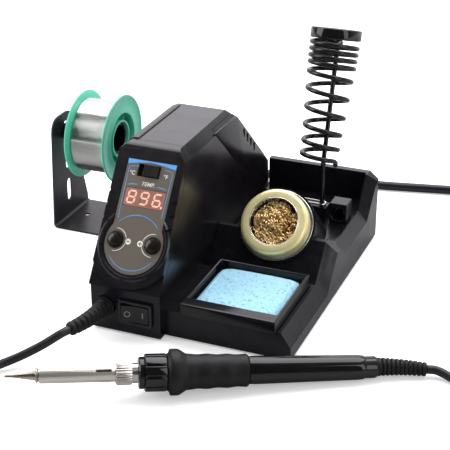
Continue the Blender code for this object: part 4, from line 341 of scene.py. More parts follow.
def ribbon(name: str, path: Array, width: float | Array, low: float, high: float,
           datum: Datum) -> bpy.types.Object:
    """A flat strip in a datum's plane: a thin rectangle carried square along a plane path.

    Args:
        name: the piece's name.
        path: count x 2 points, in millimetres.
        width: the strip's width, one number or one for each point.
        low: its underside's height over the plane.
        high: its top's height.
        datum: the frame of the plane.

    Returns:
        The new object.
    """
    way = unit(np.gradient(path, axis=0))
    side = np.stack([-way[:, 1], way[:, 0]], -1) * np.broadcast_to(width, (len(path),))[:, None] / 2
    left, right = path + side, path - side
    level = np.ones((len(path), 1))
    corners = ((left, low), (right, low), (right, high), (left, high))
    rings = [np.concatenate([line, level * height], 1) for line, height in corners]
    return skin(name, datum.place(np.stack(rings, 1)), sharp=30)


def lettering(name: str, text: str, size: float, x: float, y: float,
              shear: float = 0.0) -> bpy.types.Object:
    """Raised print on the panel: a text made a mesh, then put in the panel's frame.

    Args:
        name: the piece's name.
        text: what it says.
        size: the height of its letters, in millimetres.
        x: its middle across the panel.
        y: its middle up the panel.
        shear: how far its letters lean.

    Returns:
        The new object.
    """
    data = bpy.data.curves.new(name + "_line", "FONT")
    data.body, data.size, data.shear = text, size, shear
    data.align_x, data.align_y = "CENTER", "CENTER"
    thick, weight, clear = 0.02, 0.012, 0.035
    data.extrude, data.offset = thick, weight * size
    holder = bpy.data.objects.new(name + "_line", data)
    bpy.context.scene.collection.objects.link(holder)
    mesh = bpy.data.meshes.new_from_object(holder.evaluated_get(bpy.context.evaluated_depsgraph_get()))
    flat = np.empty(len(mesh.vertices) * 3, np.float32)
    mesh.vertices.foreach_get("co", flat)
    flat = flat.reshape(-1, 3)
    placed = PANEL.place(flat + np.array([x, y, clear]))
    faces = [list(p.vertices) for p in mesh.polygons]
    bpy.data.objects.remove(holder)
    return finished(name, placed, faces, 30)


def copied(node: str, name: str, width: float, angle: float = 32.0, segments: int = 2) -> bpy.types.Object:
    """A copy of a CAD node with its edges rounded, for moulded and bent pieces.

    Args:
        node: the CAD node.
        name: the new piece's name.
        width: the rounding, in millimetres.
        angle: edges over this angle, in degrees, are rounded.
        segments: the steps of the rounding.

    Returns:
        The new object.
    """
    mesh = frame["nodes"][node].data.copy()
    mesh.name = name
    form = bmesh.new()
    form.from_mesh(mesh)
    bmesh.ops.remove_doubles(form, verts=form.verts, dist=2e-6)
    bmesh.ops.dissolve_limit(form, angle_limit=math.radians(0.6), verts=form.verts, edges=form.edges)
    form.to_mesh(mesh)
    form.free()
    mesh.materials.clear()
    mesh.polygons.foreach_set("use_smooth", np.ones(len(mesh.polygons), bool))
    mesh.set_sharp_from_angle(angle=math.radians(angle))
    piece = bpy.data.objects.new(name, mesh)
    bpy.context.scene.collection.objects.link(piece)
    if width:
        soft = piece.modifiers.new("rounding", "BEVEL")
        soft.width, soft.segments = width * MM, segments
        soft.limit_method, soft.angle_limit = "ANGLE", math.radians(angle)
        soft.use_clamp_overlap = True
        even = piece.modifiers.new("even_shade", "WEIGHTED_NORMAL")
        even.keep_sharp = False
    return piece


# ------------------------------------------------------------------ finishes


class Way(Enum):
    """Which side of a group a socket is on."""

    IN = "INPUT"
    OUT = "OUTPUT"


class Group(Enum):
    """The shader groups that several finishes share."""

    GRAIN = "moulded_grain"
    SMUDGE = "handling_smudges"
    DRAWN = "drawn_lines"


def socket(tree: bpy.types.NodeTree, name: str, way: Way, value: float = 0.0) -> None:
    """Adds a named number socket to a group.

    Args:
        tree: the group.
        name: the socket's name.
        way: whether it goes in or out.
        value: what it holds unless it is linked, going in.
    """
    made = tree.interface.new_socket(name=name, in_out=way.value, socket_type="NodeSocketFloat")
    if way is Way.IN:
        made.default_value = value


def group(kind: Group) -> bpy.types.NodeTree:
    """A shared shader group, made the first time that it is asked for.

    GRAIN gives the height of a fine moulded grain and a slow mottle; SMUDGE gives a mask of
    soft cloudy marks; DRAWN gives fine lines round or along a piece's local Z.

    Args:
        kind: which group.

    Returns:
        The group's node tree.
    """
    found = bpy.data.node_groups.get(kind.value)
    if found:
        return found
    tree = bpy.data.node_groups.new(kind.value, "ShaderNodeTree")
    socket(tree, "Scale", Way.IN, 2000.0)
    socket(tree, "Amount", Way.IN, 1.0)
    socket(tree, "Height", Way.OUT)
    socket(tree, "Mask", Way.OUT)
    nodes, links = tree.nodes, tree.links
    entry, leave = nodes.new("NodeGroupInput"), nodes.new("NodeGroupOutput")
    where = nodes.new("ShaderNodeTexCoord")
    fine, slow = nodes.new("ShaderNodeTexNoise"), nodes.new("ShaderNodeTexNoise")
    share = nodes.new("ShaderNodeMath")
    share.operation = "MULTIPLY"
    share.inputs[1].default_value = {Group.GRAIN: 0.06, Group.SMUDGE: 0.22, Group.DRAWN: 0.10}[kind]
    links.new(entry.outputs["Scale"], share.inputs[0])
    links.new(share.outputs[0], slow.inputs["Scale"])
    place = where.outputs["Object"]
    if kind is Group.DRAWN:
        stretch = nodes.new("ShaderNodeMapping")
        stretch.inputs["Scale"].default_value = (1.0, 1.0, 0.04)
        links.new(place, stretch.inputs["Vector"])
        place = stretch.outputs["Vector"]
    for noise, detail, rough in ((fine, 3.0, 0.6), (slow, 4.0, 0.55)):
        links.new(place, noise.inputs["Vector"])
        noise.inputs["Detail"].default_value = detail
        noise.inputs["Roughness"].default_value = rough
    links.new(entry.outputs["Scale"], fine.inputs["Scale"])
    if kind is Group.SMUDGE:
        slow.inputs["Distortion"].default_value = 0.9
    height, mask = nodes.new("ShaderNodeMath"), nodes.new("ShaderNodeMapRange")
    height.operation = "MULTIPLY"
    links.new(fine.outputs["Fac"], height.inputs[0])
    links.new(entry.outputs["Amount"], height.inputs[1])
    mask.inputs["From Min"].default_value, mask.inputs["From Max"].default_value = 0.38, 0.66
    links.new(slow.outputs["Fac"], mask.inputs["Value"])
    links.new(height.outputs[0], leave.inputs["Height"])
    links.new(mask.outputs["Result"], leave.inputs["Mask"])
    return tree


class Paint:
    """A new material, with short calls for the nodes that feed its shader."""

    def __init__(self, name: str) -> None:
        """Makes the material and finds its shader.

        Args:
            name: the material's name.
        """
        self.material = bpy.data.materials.new(name)
        self.material.use_nodes = True
        self.tree = self.material.node_tree
        self.shader = self.tree.nodes["Principled BSDF"]

    def node(self, kind: str, settings: Optional[dict] = None, **values: object) -> bpy.types.Node:
        """A node of a kind, with its settings and the values of its named inputs.

        Args:
            kind: the node's type, without its ShaderNode prefix.
            settings: attributes of the node.
            values: its inputs by name, with underscores for spaces.

        Returns:
            The new node.
        """
        made = self.tree.nodes.new("ShaderNode" + kind)
        for key, value in (settings or {}).items():
            setattr(made, key, value)
        for key, value in values.items():
            made.inputs[key.replace("_", " ")].default_value = value
        return made

    def shared(self, kind: Group, scale: float, amount: float = 1.0) -> bpy.types.Node:
        """A shared group in this material.

        Args:
            kind: which group.
            scale: how fine its pattern is.
            amount: how much of its height comes out.

        Returns:
            The group's node.
        """
        made = self.node("Group")
        made.node_tree = group(kind)
        made.inputs["Scale"].default_value, made.inputs["Amount"].default_value = scale, amount
        return made

    def link(self, source: bpy.types.NodeSocket, target: bpy.types.NodeSocket) -> None:
        """Joins two sockets."""
        self.tree.links.new(source, target)

    def set(self, **values: object) -> None:
        """Sets the shader's own sockets, with underscores for spaces."""
        for key, value in values.items():
            self.shader.inputs[key.replace("_", " ")].default_value = value

    def tint(self, mask: bpy.types.NodeSocket, one: Colour, two: Colour) -> bpy.types.NodeSocket:
        """A colour that goes from one to two with a mask.

        Args:
            mask: the socket that says how far.
            one: the colour at 0.
            two: the colour at 1.

        Returns:
            The colour's socket.
        """
        mix = self.node("Mix", {"data_type": "RGBA"})
        mix.inputs["A"].default_value, mix.inputs["B"].default_value = (*one, 1), (*two, 1)
        self.link(mask, mix.inputs["Factor"])
        return mix.outputs["Result"]

    def span(self, value: bpy.types.NodeSocket, low: float, high: float) -> bpy.types.NodeSocket:
        """A value from 0 to 1 laid over low to high.

        Args:
            value: the value's socket.
            low: what 0 becomes.
            high: what 1 becomes.

        Returns:
            The result's socket.
        """
        made = self.node("MapRange", To_Min=low, To_Max=high)
        self.link(value, made.inputs["Value"])
        return made.outputs["Result"]

    def bump(self, height: bpy.types.NodeSocket, depth: float, strength: float = 1.0) -> None:
        """Feeds the shader's normal from a height.

        Args:
            height: the height's socket.
            depth: what a height of 1 means, in metres.
            strength: how much of it shows.
        """
        made = self.node("Bump", Distance=depth, Strength=strength)
        self.link(height, made.inputs["Height"])
        self.link(made.outputs["Normal"], self.shader.inputs["Normal"])

    def colour(self, source: bpy.types.NodeSocket) -> None:
        """Feeds the base colour."""
        self.link(source, self.shader.inputs["Base Color"])

    def roughness(self, source: bpy.types.NodeSocket) -> None:
        """Feeds the roughness."""
        self.link(source, self.shader.inputs["Roughness"])


@dataclass(frozen=True)
class Finish:
    """What every finish shares: a name, and a material that is made once."""

    name: str

    def make(self) -> bpy.types.Material:
        """The finish's material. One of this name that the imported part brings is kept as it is.

        Returns:
            The material.
        """
        found = bpy.data.materials.get(self.name)
        if found:
            return found
        paint = Paint(self.name)
        self.lay(paint)
        return paint.material

    def lay(self, paint: Paint) -> None:
        """Adds the nodes of this kind of finish."""
        raise NotImplementedError


@dataclass(frozen=True)
class Plastic(Finish):
    """A moulded plastic or rubber: its colour, its sheen, its grain and how it takes handling."""

    colour: Colour
    rough: float
    grain: float = 2400.0
    depth: float = 0.000012
    handled: float = 0.08
    gloss: float = 0.5

    def lay(self, paint: Paint) -> None:
        """Grain for the bump, smudges for the roughness and a slow mottle of the colour.

        Args:
            paint: the material that is being made.
        """
        grain = paint.shared(Group.GRAIN, self.grain)
        smudge = paint.shared(Group.SMUDGE, 190.0)
        lighter = tuple(min(1.0, c * 1.22 + 0.002) for c in self.colour)
        paint.colour(paint.tint(grain.outputs["Mask"], self.colour, lighter))
        paint.roughness(paint.span(smudge.outputs["Mask"], self.rough, self.rough + self.handled))
        paint.bump(grain.outputs["Height"], self.depth)
        paint.set(IOR=1.5, Specular_IOR_Level=self.gloss)


@dataclass(frozen=True)
class Metal(Finish):
    """A metal: its colour, a second tone it drifts to, its roughness and its drawn lines."""

    colour: Colour
    second: Colour
    rough: float
    lines: float = 5200.0
    depth: float = 0.000006
    metallic: float = 1.0

    def lay(self, paint: Paint) -> None:
        """Drawn lines for the bump, and a soft drift of tone and gloss.

        Args:
            paint: the material that is being made.
        """
        drawn = paint.shared(Group.DRAWN, self.lines)
        smudge = paint.shared(Group.SMUDGE, 260.0)
        paint.colour(paint.tint(smudge.outputs["Mask"], self.colour, self.second))
        paint.roughness(paint.span(drawn.outputs["Mask"], self.rough, self.rough + 0.10))
        paint.bump(drawn.outputs["Height"], self.depth)
        paint.set(Metallic=self.metallic)


@dataclass(frozen=True)
class Heated(Finish):
    """Steel that has been hot: its tint changes along the iron from the tip towards the nut; inside its bore
    it is painted near black, as painted shade.
    """

    stops: tuple[tuple[float, Colour], ...]
    rough: float
    reach: float
    # the radius inside which the steel is painted near black as shade, in millimetres
    bore: float = 0.0

    def lay(self, paint: Paint) -> None:
        """The reach along the iron's axis sets the tint, and inside the bore the colour is painted near
        black, as painted shade.

        Args:
            paint: the material that is being made.
        """
        where = paint.node("TexCoord")
        away = paint.node("VectorMath", {"operation": "SUBTRACT"})
        away.inputs[1].default_value = IRON.origin
        reach = paint.node("VectorMath", {"operation": "DOT_PRODUCT"})
        reach.inputs[1].default_value = IRON.axes[:, 2]
        paint.link(where.outputs["Object"], away.inputs[0])
        paint.link(away.outputs[0], reach.inputs[0])
        share = paint.node("MapRange", From_Max=self.reach * MM)
        paint.link(reach.outputs["Value"], share.inputs["Value"])
        ramp = paint.node("ValToRGB")
        for i, (place, colour) in enumerate(self.stops):
            stop = ramp.color_ramp.elements[i] if i < 2 else ramp.color_ramp.elements.new(place)
            stop.position, stop.color = place, (*colour, 1)
        paint.link(share.outputs["Result"], ramp.inputs["Fac"])
        across = paint.node("VectorMath", {"operation": "CROSS_PRODUCT"})
        across.inputs[1].default_value = IRON.axes[:, 2]
        paint.link(away.outputs[0], across.inputs[0])
        radius = paint.node("VectorMath", {"operation": "LENGTH"})
        paint.link(across.outputs[0], radius.inputs[0])
        out = paint.node("MapRange", From_Min=(self.bore - 0.1) * MM, From_Max=(self.bore + 0.1) * MM)
        paint.link(radius.outputs["Value"], out.inputs["Value"])
        # painted shade: inside the bore's radius the colour turns near black, so the slots read dark
        bore_shade = paint.node("Mix", {"data_type": "RGBA"})
        paint.link(out.outputs["Result"], bore_shade.inputs["Factor"])
        bore_shade.inputs["A"].default_value = (0.02, 0.015, 0.01, 1)
        paint.link(ramp.outputs["Color"], bore_shade.inputs["B"])
        paint.colour(bore_shade.outputs["Result"])
        drawn = paint.shared(Group.DRAWN, 3800.0)
        paint.roughness(paint.span(drawn.outputs["Mask"], self.rough, self.rough + 0.12))
        paint.bump(drawn.outputs["Height"], 0.000006)
        paint.set(Metallic=1.0)


@dataclass(frozen=True)
class Glow(Finish):
    """A lit or tinted display part: its body colour, its light and how strong that is."""

    colour: Colour
    light: Colour
    strength: float
    rough: float = 0.35

    def lay(self, paint: Paint) -> None:
        """The light and the colour are a little uneven over the surface.

        Args:
            paint: the material that is being made.
        """
        smudge = paint.shared(Group.SMUDGE, 420.0)
        dim = tuple(c * 0.86 for c in self.light)
        paint.link(paint.tint(smudge.outputs["Mask"], self.light, dim), paint.shader.inputs["Emission Color"])
        dark = tuple(c * 0.92 for c in self.colour)
        paint.colour(paint.tint(smudge.outputs["Mask"], self.colour, dark))
        paint.roughness(paint.span(smudge.outputs["Mask"], self.rough, self.rough + 0.06))
        paint.set(Emission_Strength=self.strength)


@dataclass(frozen=True)
class Foam(Finish):
    """A damp cellulose sponge: pale blue with round pores of several sizes, whose darker blue is painted
    shade inside the cells.
    """

    colour: Colour
    pore: Colour

    def lay(self, paint: Paint) -> None:
        """Two sizes of warped round cells are sunk and coloured darker, as painted shade inside the pores,
        over a fine mottle.

        Args:
            paint: the material that is being made.
        """
        where = paint.node("TexCoord")
        warp = paint.node("TexNoise", Scale=520.0, Detail=3.0)
        paint.link(where.outputs["Object"], warp.inputs["Vector"])
        pits = []
        shift = paint.node("VectorMath", {"operation": "MULTIPLY_ADD"})
        shift.inputs[1].default_value = (0.0026, 0.0014, 0.0014)
        paint.link(warp.outputs["Color"], shift.inputs[0])
        paint.link(where.outputs["Object"], shift.inputs[2])
        for scale, low, high in ((420.0, 0.12, 0.34), (900.0, 0.10, 0.38)):
            cells = paint.node("TexVoronoi", Scale=scale, Randomness=1.0)
            paint.link(shift.outputs[0], cells.inputs["Vector"])
            pit = paint.node("MapRange", From_Min=low, From_Max=high, To_Min=1.0, To_Max=0.0)
            paint.link(cells.outputs["Distance"], pit.inputs["Value"])
            pick = paint.node("Math", {"operation": "GREATER_THAN"})
            pick.inputs[1].default_value = 0.62 if scale < 500 else 0.45
            parts = paint.node("SeparateColor")
            paint.link(cells.outputs["Color"], parts.inputs["Color"])
            paint.link(parts.outputs["Red"], pick.inputs[0])
            both = paint.node("Math", {"operation": "MULTIPLY"})
            paint.link(pit.outputs["Result"], both.inputs[0])
            paint.link(pick.outputs[0], both.inputs[1])
            pits.append(both.outputs[0])
        pore = paint.node("Math", {"operation": "MAXIMUM"})
        paint.link(pits[0], pore.inputs[0])
        paint.link(pits[1], pore.inputs[1])
        soft = paint.node("Math", {"operation": "MULTIPLY"})
        soft.inputs[1].default_value = 0.62
        paint.link(pore.outputs[0], soft.inputs[0])
        pale = tuple(min(1.0, c * 1.12 + 0.03) for c in self.colour)
        ground = paint.tint(paint.span(warp.outputs["Fac"], -0.2, 1.2), self.colour, pale)
        # painted shade: the pores take a darker blue, the shade inside the sponge's own cells
        mix = paint.node("Mix", {"data_type": "RGBA"})
        paint.link(soft.outputs[0], mix.inputs["Factor"])
        paint.link(ground, mix.inputs["A"])
        mix.inputs["B"].default_value = (*self.pore, 1)
        paint.colour(mix.outputs["Result"])
        height = paint.node("Math", {"operation": "SUBTRACT"})
        paint.link(warp.outputs["Fac"], height.inputs[0])
        paint.link(pore.outputs[0], height.inputs[1])
        paint.bump(height.outputs[0], 0.0005)
        paint.roughness(paint.span(warp.outputs["Fac"], 0.62, 0.9))


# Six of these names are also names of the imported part's own plain materials: panel_film, spool_green,
# board_green, solder_wire, sink_alloy and barrel_steel. There make() keeps the part's material.
CASE = Plastic("case_black", (0.0056, 0.0048, 0.0066), 0.20, handled=0.07, gloss=0.42)
STAND = Plastic("stand_black", (0.0048, 0.0043, 0.0064), 0.20, handled=0.08, gloss=0.27)
SHINE = Plastic("polished_black", (0.004, 0.004, 0.0045), 0.07, 900.0, 0.000002, 0.04, gloss=0.42)
TRAY = Plastic("tray_black", (0.0042, 0.0042, 0.005), 0.13, 1600.0, 0.000003, 0.05, gloss=0.36)
RUBBER = Plastic("grip_rubber", (0.0060, 0.0060, 0.0066), 0.46, 2400.0, 0.00005, 0.08, gloss=0.24)
SHEATH = Plastic("cord_sheath", (0.010, 0.010, 0.012), 0.32, grain=2600.0, depth=0.00001, gloss=0.35)
MAINS = Plastic("mains_sheath", (0.008, 0.008, 0.011), 0.28, grain=2600.0, depth=0.00001, gloss=0.35)
ENAMEL = Plastic("bracket_enamel", (0.017, 0.015, 0.019), 0.34, grain=1500.0, depth=0.00002, gloss=0.35)
HOLDER = Plastic("holder_enamel", (0.004, 0.004, 0.0045), 0.13, grain=1200.0, depth=0.000006, gloss=0.42)
FILM = Plastic("panel_film", (0.052, 0.044, 0.033), 0.30, 3000.0, 0.000004, 0.05, gloss=0.4)
KEYS = Plastic("key_black", (0.0075, 0.0068, 0.0052), 0.20, grain=1800.0, depth=0.000004, gloss=0.4)
GREEN = Plastic("spool_green", (0.001, 0.27, 0.150), 0.40, grain=1200.0, depth=0.000006, gloss=0.12)
BOARD = Plastic("board_green", (0.02, 0.16, 0.06), 0.42, grain=5000.0, depth=0.000012)
# painted shade: near-black strips that stand for the shade in the flank's vent notches
VENT_SHADE = Plastic("vent_dark", (0.0015, 0.0015, 0.0018), 0.7, grain=2600.0, gloss=0.05)
WHITE_INK = Plastic("white_ink", (0.66, 0.65, 0.60), 0.5, grain=2600.0, depth=0.000002)
SWITCH_INK = Plastic("switch_ink", (0.16, 0.16, 0.16), 0.45, grain=2600.0, depth=0.000002)
BLUE_INK = Plastic("blue_ink", (0.075, 0.22, 0.44), 0.45, grain=2600.0, depth=0.000002)
BAND_INK = Plastic("band_ink", (0.07, 0.29, 0.68), 0.4, grain=2600.0, depth=0.000002)
# painted shade: the heater is coloured dark so that the barrel's slots read as shaded
SHADED_CERAMIC = Plastic("heater_ceramic", (0.16, 0.14, 0.12), 0.6, grain=3000.0, depth=0.00002)
STEEL = Metal("bright_nickel", (0.72, 0.70, 0.67), (0.62, 0.60, 0.58), 0.20)
NUT = Metal("nut_nickel", (0.72, 0.68, 0.64), (0.62, 0.58, 0.53), 0.30)
GOLD = Metal("gold_ring", (0.93, 0.85, 0.45), (0.89, 0.80, 0.41), 0.34, lines=3000.0, metallic=0.55)
SILVER = Metal("silver_rim", (0.78, 0.78, 0.80), (0.70, 0.70, 0.72), 0.16)
WOOL = Metal("brass_curl", (0.92, 0.66, 0.30), (0.62, 0.36, 0.12), 0.24, lines=9000.0)
# painted shade: the wool's dark core stands for the shade deep between the curls
WOOL_SHADE = Metal("brass_deep", (0.10, 0.055, 0.02), (0.04, 0.022, 0.01), 0.5, lines=2500.0, depth=0.0004)
SOLDER = Metal("solder_wire", (0.74, 0.72, 0.69), (0.66, 0.62, 0.55), 0.24)
ALLOY = Metal("sink_alloy", (0.55, 0.56, 0.58), (0.48, 0.49, 0.51), 0.34)
BARREL = Heated(
    "barrel_steel",
    ((0.0, (0.42, 0.24, 0.12)), (0.3, (0.62, 0.40, 0.22)), (0.55, (0.72, 0.52, 0.32)),
     (1.0, (0.74, 0.60, 0.44))),
    0.17,
    62.0,
    3.9,
)
TIP = Heated(
    "tip_plating",
    ((0.0, (0.42, 0.36, 0.30)), (0.10, (0.40, 0.34, 0.27)), (0.28, (0.52, 0.46, 0.38)),
     (1.0, (0.60, 0.57, 0.52))),
    0.26,
    40.0,
)
LENS = Glow("display_lens", (0.20, 0.10, 0.08), (0.62, 0.24, 0.17), 0.22, 0.22)
LIT = Glow("segment_lit", (0.50, 0.24, 0.19), (1.0, 0.52, 0.40), 0.70)
UNLIT = Glow("segment_dark", (0.14, 0.10, 0.09), (0.2, 0.1, 0.08), 0.10)
SPONGE = Foam("sponge_cells", (0.34, 0.64, 0.80), (0.05, 0.27, 0.48))


class Body(Enum):
    """The bodies that pieces move with."""

    STATION = "station"
    HOLDER = "holder"
    REEL = "reel"
    CLEANER = "cleaner"
    RING = "ring"
    TRAY = "tray"
    SLIDER = "slider"
    MINUS = "minus"
    PLUS = "plus"
    ROCKER = "rocker"
    NUT = "nut"


class Slot(Enum):
    """The record's material slots."""

    BARREL_STEEL = "barrel_steel"
    BLACK_ENAMEL = "black_enamel"
    BLACK_PLASTIC = "black_plastic"
    BRASS_WIRE = "brass_wire"
    CORD_RUBBER = "cord_rubber"
    DISPLAY_GREY = "display_grey"
    GLOSS_BLACK = "gloss_black"
    GOLD_PLATE = "gold_plate"
    MAINS_PVC = "mains_pvc"
    PANEL_FILM = "panel_film"
    PLUG_PVC = "plug_pvc"
    SOFT_RUBBER = "soft_rubber"
    SOLDER_CORE = "solder_core"
    SOLDER_WIRE = "solder_wire"
    SPONGE_BLUE = "sponge_blue"
    SPOOL_GREEN = "spool_green"
    STEEL = "steel"
    TIP_PLATE = "tip_plate"


def fit(piece: bpy.types.Object, finish: Finish, body: Body, slot: Slot,
        *nodes: str) -> bpy.types.Object:
    """Finishes a piece: its material, its body, and what it stands for.

    Args:
        piece: the new object.
        finish: the finish, which makes its own material.
        body: the body that it moves with.
        slot: the record's material slot; not used.
        nodes: the CAD nodes that it replaces.

    Returns:
        The piece.
    """
    piece.data.materials.clear()
    piece.data.materials.append(finish.make())
    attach(piece, body.value)
    if nodes:
        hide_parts(*nodes)
    log.info("piece %s on %s, for %s", piece.name, body.value, ", ".join(nodes) or "itself")
    return piece


def dress(finish: Finish, *nodes: str) -> None:
    """Gives CAD nodes that keep their own shape a finish.

    Args:
        finish: the finish.
        nodes: the nodes.
    """
    for node in nodes:
        frame["nodes"][node].material_slots[0].material = finish.make()
        log.info("node %s in %s", node, finish.name)


# ------------------------------------------------------------------ studio


@dataclass(frozen=True)
class Lamp:
    """A soft rectangular lamp: where it stands and faces in station millimetres, and its light."""

    name: str
    at: tuple[float, float, float]
    size: tuple[float, float]  # metres
    power: float  # watts
    colour: Colour = (1.0, 1.0, 1.0)
    aim: tuple[float, float, float] = (-60.0, 60.0, 50.0)

    def build(self) -> None:
        """Makes the lamp and turns it: its back points from its aim to its place."""
        data = bpy.data.lights.new(self.name, "AREA")
        data.shape, (data.size, data.size_y) = "RECTANGLE", self.size
        data.energy, data.color = self.power, self.colour
        lamp = bpy.data.objects.new(self.name, data)
        place, target = STATION.place(np.array(self.at)), STATION.place(np.array(self.aim))
        back = unit(place - target)
        across = unit(np.cross([0.0, 0.0, 1.0], back))
        axes = np.stack([across, np.cross(back, across), back, place], 1)
        lamp.matrix_world = Matrix(np.concatenate([axes, [[0.0, 0.0, 0.0, 1.0]]]).tolist())
        bpy.context.scene.collection.objects.link(lamp)


@dataclass(frozen=True)
class Studio:
    """The camera, the pale floor and backdrop, and the soft lamps."""

    eye: tuple[float, float, float] = (188.0, -562.3, 371.5)
    azimuth: float = 22.0
    elevation: float = 25.8
    lens: float = 100.0
    floor_reach: float = 4000.0
    floor_lift: float = 0.34
    floor_fade: tuple[float, float] = (0.42, 0.95)  # metres
    lamps: tuple[Lamp, ...] = (
        Lamp("top_softbox", (-60, 420, 880), (1.1, 0.8), 11.0, (1.0, 0.95, 1.0)),
        Lamp("left_softbox", (-900, -260, 520), (0.6, 0.9), 6.5),
        Lamp("back_softbox", (-434, 915, 535), (0.8, 0.45), 1.3, (0.96, 0.90, 1.0)),
        Lamp("right_softbox", (820, -300, 460), (0.35, 0.8), 2.2),
    )

    def camera(self) -> None:
        """Puts the camera at its place and makes it the scene's own."""
        data = bpy.data.cameras.new("camera")
        data.lens, data.sensor_width, data.clip_start = self.lens, 36.0, 0.01
        camera = bpy.data.objects.new("camera", data)
        camera.location = STATION.place(np.array(self.eye))
        camera.rotation_euler = (math.radians(90 - self.elevation), 0, math.radians(self.azimuth))
        bpy.context.scene.collection.objects.link(camera)
        bpy.context.scene.camera = camera

    def floor(self) -> None:
        """A wide pale table that takes the shadow; far off it glows white, and in gloss it is dim."""
        sheet = bars([(0, 0, self.floor_reach, self.floor_reach)])
        floor = prisms("floor", sheet, -4.0, -0.05, Datum(np.zeros(3)))
        paint = Paint("floor_paper")
        grain = paint.shared(Group.GRAIN, 400.0)
        paper = paint.tint(grain.outputs["Mask"], (0.94, 0.94, 0.945), (0.96, 0.96, 0.965))
        where, far = paint.node("TexCoord"), paint.node("VectorMath", {"operation": "LENGTH"})
        paint.link(where.outputs["Object"], far.inputs[0])
        fade = paint.node("MapRange", {"interpolation_type": "SMOOTHSTEP"})
        fade.inputs["From Min"].default_value, fade.inputs["From Max"].default_value = self.floor_fade
        paint.link(far.outputs["Value"], fade.inputs["Value"])
        paths = paint.node("LightPath")
        dim = paint.node("Mix", {"data_type": "RGBA"})
        paint.link(paths.outputs["Is Glossy Ray"], dim.inputs["Factor"])
        paint.link(paper, dim.inputs["A"])
        dim.inputs["B"].default_value = (0.42, 0.42, 0.42, 1)
        paint.colour(dim.outputs["Result"])
        seen = paint.node("Math", {"operation": "ADD", "use_clamp": True})
        paint.link(paths.outputs["Is Camera Ray"], seen.inputs[0])
        paint.link(paths.outputs["Is Glossy Ray"], seen.inputs[1])
        glow = paint.node("Math", {"operation": "MULTIPLY"})
        paint.link(fade.outputs["Result"], glow.inputs[0])
        paint.link(seen.outputs[0], glow.inputs[1])
        lift = paint.node("Math", {"operation": "MULTIPLY"})
        lift.inputs[1].default_value = self.floor_lift
        paint.link(paths.outputs["Is Camera Ray"], lift.inputs[0])
        most = paint.node("Math", {"operation": "MAXIMUM"})
        paint.link(glow.outputs[0], most.inputs[0])
        paint.link(lift.outputs[0], most.inputs[1])
        paint.link(most.outputs[0], paint.shader.inputs["Emission Strength"])
        paint.set(Roughness=0.85, Specular_IOR_Level=0.2, Emission_Color=(1, 1, 1, 1))
        floor.data.materials.append(paint.material)

    def world(self) -> None:
        """A white backdrop, seen directly and in gloss from behind; softer for what it lights."""
        world = bpy.data.worlds.new("studio")
        bpy.context.scene.world = world
        world.use_nodes = True
        nodes, links = world.node_tree.nodes, world.node_tree.links
        back = nodes["Background"]
        where, parts = nodes.new("ShaderNodeTexCoord"), nodes.new("ShaderNodeSeparateXYZ")
        links.new(where.outputs["Generated"], parts.inputs[0])
        behind = nodes.new("ShaderNodeMapRange")
        behind.inputs["From Min"].default_value, behind.inputs["From Max"].default_value = -0.25, 0.65
        behind.inputs["To Min"].default_value, behind.inputs["To Max"].default_value = 0.05, 1.0
        links.new(parts.outputs["Y"], behind.inputs["Value"])
        paths = nodes.new("ShaderNodeLightPath")
        gloss = nodes.new("ShaderNodeMix")
        gloss.data_type = "FLOAT"
        gloss.inputs["A"].default_value = 0.52
        links.new(paths.outputs["Is Glossy Ray"], gloss.inputs["Factor"])
        links.new(behind.outputs["Result"], gloss.inputs["B"])
        seen = nodes.new("ShaderNodeMath")
        seen.operation = "MAXIMUM"
        links.new(paths.outputs["Is Camera Ray"], seen.inputs[0])
        links.new(paths.outputs["Is Transmission Ray"], seen.inputs[1])
        level = nodes.new("ShaderNodeMix")
        level.data_type = "FLOAT"
        level.inputs["B"].default_value = 1.0
        links.new(seen.outputs[0], level.inputs["Factor"])
        links.new(gloss.outputs["Result"], level.inputs["A"])
        links.new(level.outputs["Result"], back.inputs["Strength"])
        back.inputs["Color"].default_value = (1, 1, 1, 1)

    def build(self) -> None:
        """Sets the whole studio."""
        bpy.context.scene.view_settings.view_transform = "Standard"
        self.camera()
        self.floor()
        self.world()
        for lamp in self.lamps:
            lamp.build()


# ------------------------------------------------------------------ cords


@dataclass(frozen=True)
class Coil:
    """A tied coil in two layers on the table: it winds in, climbs, and winds out again."""

    centre: tuple[float, float]
    mean: float
    turns: float
    radius: float
    start: float
    way: int
    gap: float = 0.8
    clear: float = 0.2

    def path(self) -> Array:
        """The middle line: a spiral that winds in and out, and eases up by one layer halfway.

        Returns:
            Its points, in metres, with a straight lead at each end.
        """
        pitch = 2 * self.radius + self.gap
        inner = self.mean - pitch * self.turns / 4
        half = math.pi * self.turns
        per_turn = 16
        t = np.linspace(-half, half, round(self.turns * per_turn) + 1)
        swing = np.clip(t / math.pi + 0.5, 0, 1)
        lift = swing * swing * (3 - 2 * swing)
        out = inner + pitch * np.abs(t) / (2 * math.pi)
        angle = math.radians(self.start) + self.way * (t + half)
        x = self.centre[0] + out * np.cos(angle)
        y = self.centre[1] + out * np.sin(angle)
        line = STATION.place(np.stack([x, y, self.radius + self.clear + pitch * lift], 1))
        lead = 2 * self.radius * MM
        first = line[0] + unit(line[0] - line[1]) * lead
        last = line[-1] + unit(line[-1] - line[-2]) * lead
        return np.concatenate([[first], line, [last]])


